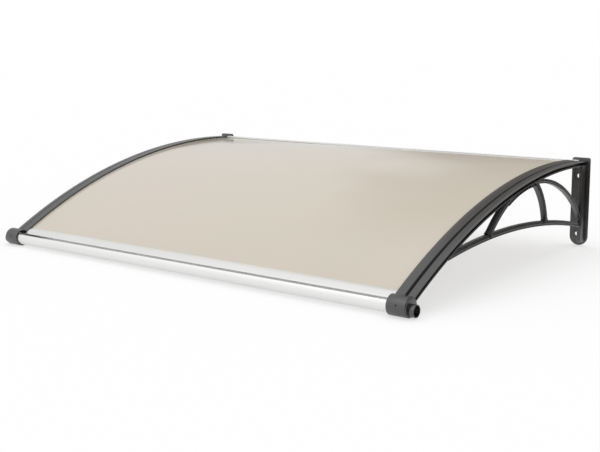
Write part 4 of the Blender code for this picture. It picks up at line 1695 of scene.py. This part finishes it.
@dataclass
class Studio:
    """The pale floor, the white surroundings, the soft lamp, the flag and the camera."""

    floor_size: float = 40.0
    floor_color: tuple[float, float, float] = (0.93, 0.93, 0.93)
    floor_glow: float = 0.62
    ambient: float = 0.78
    sun_strength: float = 0.95
    sun_spread: float = 60.0
    sun_aim: tuple[float, float, float] = (0.35, -0.15, -1.0)
    sky_low: float = 0.70
    sky_rise: float = 0.42
    window_aim: tuple[float, float, float] = (-0.42, -0.38, 0.82)
    window_strength: float = 0.65
    window_focus: float = 20.0
    front_reach: tuple[float, float] = (-0.15, -0.75)
    front_fill: float = 0.40
    dark_reach: tuple[float, float] = (0.10, 0.55)
    dark_height: tuple[float, float] = (0.65, 0.25)
    dark_share: float = 0.85
    shade_color: tuple[float, float, float] = (0.385, 0.345, 0.310)
    shade_edge: tuple[float, float] = (-0.59, -0.46)
    shade_end: tuple[float, float] = (-0.18, -0.36)
    shade_depth: tuple[float, float] = (0.30, 0.60)
    shade_waves: float = 0.15
    wave_scale: float = 4.5
    wave_octaves: float = 2.0
    flag_gap: float = 0.150
    flag_height: float = 0.18
    flag_tone: float = 0.09
    camera_place: tuple[float, float, float] = (1.5614, -1.94936, 0.51782)
    camera_turn: tuple[float, float, float] = (1.384758, 0.0106897, 0.663961)
    camera_lens: float = 60.925
    camera_shift: tuple[float, float] = (-0.0003, 0.0005)

    @staticmethod
    def math(
            tree: NodeTree, operation: str, first: bpy.types.NodeSocket,
            second: "bpy.types.NodeSocket | float") -> bpy.types.NodeSocket:
        """A Math node's result; the second input is a socket or a number.

        Args:
            tree: The node tree to add to.
            operation: The node's operation.
            first: Its first input.
            second: Its second input.

        Returns:
            The socket with the result.
        """
        node = tree.nodes.new("ShaderNodeMath")
        node.operation = operation
        tree.links.new(first, node.inputs[0])
        if isinstance(second, bpy.types.NodeSocket):
            tree.links.new(second, node.inputs[1])
        else:
            node.inputs[1].default_value = second
        return node.outputs[0]

    @staticmethod
    def smooth(
            tree: NodeTree, value: bpy.types.NodeSocket, edge: tuple[float, float]) -> bpy.types.NodeSocket:
        """A soft step from 0 to 1 between two values.

        Args:
            tree: The node tree to add to.
            value: The value that steps.
            edge: Where the step starts and ends.

        Returns:
            The socket with the result.
        """
        node = tree.nodes.new("ShaderNodeMapRange")
        node.interpolation_type = "SMOOTHSTEP"
        node.inputs["From Min"].default_value, node.inputs["From Max"].default_value = edge
        tree.links.new(value, node.inputs["Value"])
        return node.outputs["Result"]

    def reflected_rays(self, tree: NodeTree) -> tuple[bpy.types.NodeSocket, bpy.types.NodeSocket]:
        """Masks for what the camera sees, and for what gloss and glass show.

        Args:
            tree: The node tree to add to.

        Returns:
            The two masks.
        """
        path = tree.nodes.new("ShaderNodeLightPath")
        shown = self.math(
            tree, "MAXIMUM", path.outputs["Is Glossy Ray"], path.outputs["Is Transmission Ray"])
        return path.outputs["Is Camera Ray"], shown

    def sky_color(self, tree: NodeTree) -> bpy.types.NodeSocket:
        """The surroundings' colour in reflections: white, with one soft brown-grey shade behind.

        Args:
            tree: The world's node tree.

        Returns:
            The socket with the colour.
        """
        place = tree.nodes.new("ShaderNodeTexCoord").outputs["Generated"]
        split = tree.nodes.new("ShaderNodeSeparateXYZ")
        tree.links.new(place, split.inputs["Vector"])
        ripple = noise(tree, place, self.wave_scale, self.wave_octaves)
        waves = self.math(tree, "MULTIPLY", ripple, self.shade_waves)
        across = self.math(tree, "ADD", split.outputs["X"], waves)
        edge = tuple(value + self.shade_waves / 2 for value in self.shade_edge)
        behind = self.smooth(tree, split.outputs["Y"], self.shade_depth)
        shade = self.math(tree, "MULTIPLY", self.smooth(tree, across, edge), behind)
        shade = self.math(tree, "MULTIPLY", shade, self.smooth(tree, split.outputs["X"], self.shade_end))
        mix = tree.nodes.new("ShaderNodeMix")
        mix.data_type = "RGBA"
        mix.inputs["A"].default_value = WHITE
        mix.inputs["B"].default_value = (*self.shade_color, 1.0)
        tree.links.new(shade, mix.inputs["Factor"])
        return mix.outputs["Result"]

    def sky_strength(self, tree: NodeTree) -> bpy.types.NodeSocket:
        """The surroundings' strength in reflections: a soft window high in front, dark low on the right.

        Args:
            tree: The world's node tree.

        Returns:
            The socket with the strength.
        """
        place = tree.nodes.new("ShaderNodeTexCoord").outputs["Generated"]
        split = tree.nodes.new("ShaderNodeSeparateXYZ")
        tree.links.new(place, split.inputs["Vector"])
        rise = self.math(tree, "MULTIPLY", split.outputs["Z"], split.outputs["Z"])
        graded = self.math(tree, "ADD", self.math(tree, "MULTIPLY", rise, self.sky_rise), self.sky_low)
        aim = tree.nodes.new("ShaderNodeVectorMath")
        aim.operation = "DOT_PRODUCT"
        aim.inputs[1].default_value = Vector(self.window_aim).normalized()
        tree.links.new(place, aim.inputs[0])
        facing = self.math(tree, "MAXIMUM", aim.outputs["Value"], 0.0)
        window = self.math(tree, "POWER", facing, self.window_focus)
        graded = self.math(tree, "ADD", graded, self.math(tree, "MULTIPLY", window, self.window_strength))
        front = self.smooth(tree, split.outputs["Y"], self.front_reach)
        graded = self.math(tree, "ADD", graded, self.math(tree, "MULTIPLY", front, self.front_fill))
        right = self.smooth(tree, split.outputs["X"], self.dark_reach)
        dark = self.math(tree, "MULTIPLY", right, self.smooth(tree, split.outputs["Z"], self.dark_height))
        kept = self.math(tree, "ADD", self.math(tree, "MULTIPLY", dark, -self.dark_share), 1.0)
        return self.math(tree, "MULTIPLY", graded, kept)

    def surroundings(self) -> None:
        """White to the camera, softly graded in reflections, and even as light."""
        world = bpy.data.worlds.new("white_surroundings")
        world.use_nodes = True
        tree = world.node_tree
        light = tree.nodes["Background"]
        light.inputs["Color"].default_value = WHITE
        light.inputs["Strength"].default_value = self.ambient
        shown = tree.nodes.new("ShaderNodeBackground")
        tree.links.new(self.sky_color(tree), shown.inputs["Color"])
        tree.links.new(self.sky_strength(tree), shown.inputs["Strength"])
        white = tree.nodes.new("ShaderNodeBackground")
        white.inputs["Color"].default_value = WHITE
        camera_ray, shown_ray = self.reflected_rays(tree)
        mixed = self.mixed(tree, shown_ray, light.outputs[0], shown.outputs[0])
        result = self.mixed(tree, camera_ray, mixed, white.outputs[0])
        tree.links.new(result, tree.nodes["World Output"].inputs["Surface"])
        bpy.context.scene.world = world

    @staticmethod
    def mixed(
            tree: NodeTree, factor: bpy.types.NodeSocket, first: bpy.types.NodeSocket,
            second: bpy.types.NodeSocket) -> bpy.types.NodeSocket:
        """Two shaders mixed by a factor.

        Args:
            tree: The node tree to add to.
            factor: The factor.
            first: The shader at 0.
            second: The shader at 1.

        Returns:
            The mixed shader.
        """
        node = tree.nodes.new("ShaderNodeMixShader")
        tree.links.new(factor, node.inputs[0])
        tree.links.new(first, node.inputs[1])
        tree.links.new(second, node.inputs[2])
        return node.outputs[0]

    def floor(self) -> None:
        """The plain pale floor, clear from below."""
        shape = Shape()
        bmesh.ops.create_grid(shape.bm, x_segments=1, y_segments=1, size=self.floor_size / 2)
        made = shape.finish("floor")
        paint = bpy.data.materials.new("floor")
        paint.use_nodes = True
        tree = paint.node_tree
        tree.nodes.remove(tree.nodes["Principled BSDF"])
        shader = tree.nodes.new("ShaderNodeBsdfDiffuse")
        shader.inputs["Color"].default_value = (*self.floor_color, 1.0)
        glow = tree.nodes.new("ShaderNodeEmission")
        camera_ray, shown_ray = self.reflected_rays(tree)
        seen = self.math(tree, "MAXIMUM", camera_ray, shown_ray)
        share = self.math(tree, "MULTIPLY", seen, self.floor_glow)
        lit = self.mixed(tree, share, shader.outputs[0], glow.outputs[0])
        back = tree.nodes.new("ShaderNodeNewGeometry").outputs["Backfacing"]
        clear = tree.nodes.new("ShaderNodeBsdfTransparent")
        result = self.mixed(tree, back, lit, clear.outputs[0])
        tree.links.new(result, tree.nodes["Material Output"].inputs["Surface"])
        made.data.materials.append(paint)

    def flag(self, side: Side) -> None:
        """A dark flag beside a bracket, which shows in gloss only and keeps its sides dark.

        Args:
            side: The bracket's side.
        """
        shape = Shape()
        place = side.value * (ENDS.collar_outer + self.flag_gap)
        shape.block(
            Vector((place - CLEARANCE, -ARCH.wall_y, CLEARANCE)),
            Vector((place + CLEARANCE, ARCH.depth, self.flag_height)))
        made = shape.finish(f"flag_{side.tag}")
        paint = bpy.data.materials.new(made.name)
        paint.use_nodes = True
        tree = paint.node_tree
        glow = tree.nodes.new("ShaderNodeEmission")
        glow.inputs["Strength"].default_value = self.flag_tone
        tree.links.new(glow.outputs[0], tree.nodes["Material Output"].inputs["Surface"])
        made.data.materials.append(paint)
        made.visible_camera = False
        made.visible_diffuse = False
        made.visible_transmission = False
        made.visible_shadow = False

    def sun(self) -> None:
        """The soft main light, from above and a little behind."""
        lamp = bpy.data.lights.new("soft_sun", "SUN")
        lamp.energy = self.sun_strength
        lamp.angle = math.radians(self.sun_spread)
        made = bpy.data.objects.new("soft_sun", lamp)
        made.rotation_euler = Vector(self.sun_aim).to_track_quat("-Z", "Y").to_euler()
        made.visible_glossy = False
        bpy.context.scene.collection.objects.link(made)

    def camera(self) -> None:
        """The camera at the photograph's viewpoint."""
        data = bpy.data.cameras.new("camera")
        data.sensor_width = 36.0
        data.lens = self.camera_lens
        data.shift_x, data.shift_y = self.camera_shift
        made = bpy.data.objects.new("camera", data)
        made.location = self.camera_place
        made.rotation_euler = self.camera_turn
        bpy.context.scene.collection.objects.link(made)
        bpy.context.scene.camera = made

    def build(self) -> None:
        """Sets up everything round the canopy."""
        self.surroundings()
        self.floor()
        self.flag(Side.RIGHT)
        self.sun()
        self.camera()
        bpy.context.scene.view_settings.view_transform = "Standard"


def main() -> None:
    """Builds the canopy and the studio round it."""
    logging.basicConfig(level=logging.INFO, format="%(message)s")
    Studio().build()
    finishes = Finishes()
    for side in Side:
        Bracket(side).build(finishes)
    CanopySheet().build(finishes)
    GutterBar().build(finishes)
    RearBar().build(finishes)


if __name__ == "__main__":
    main()
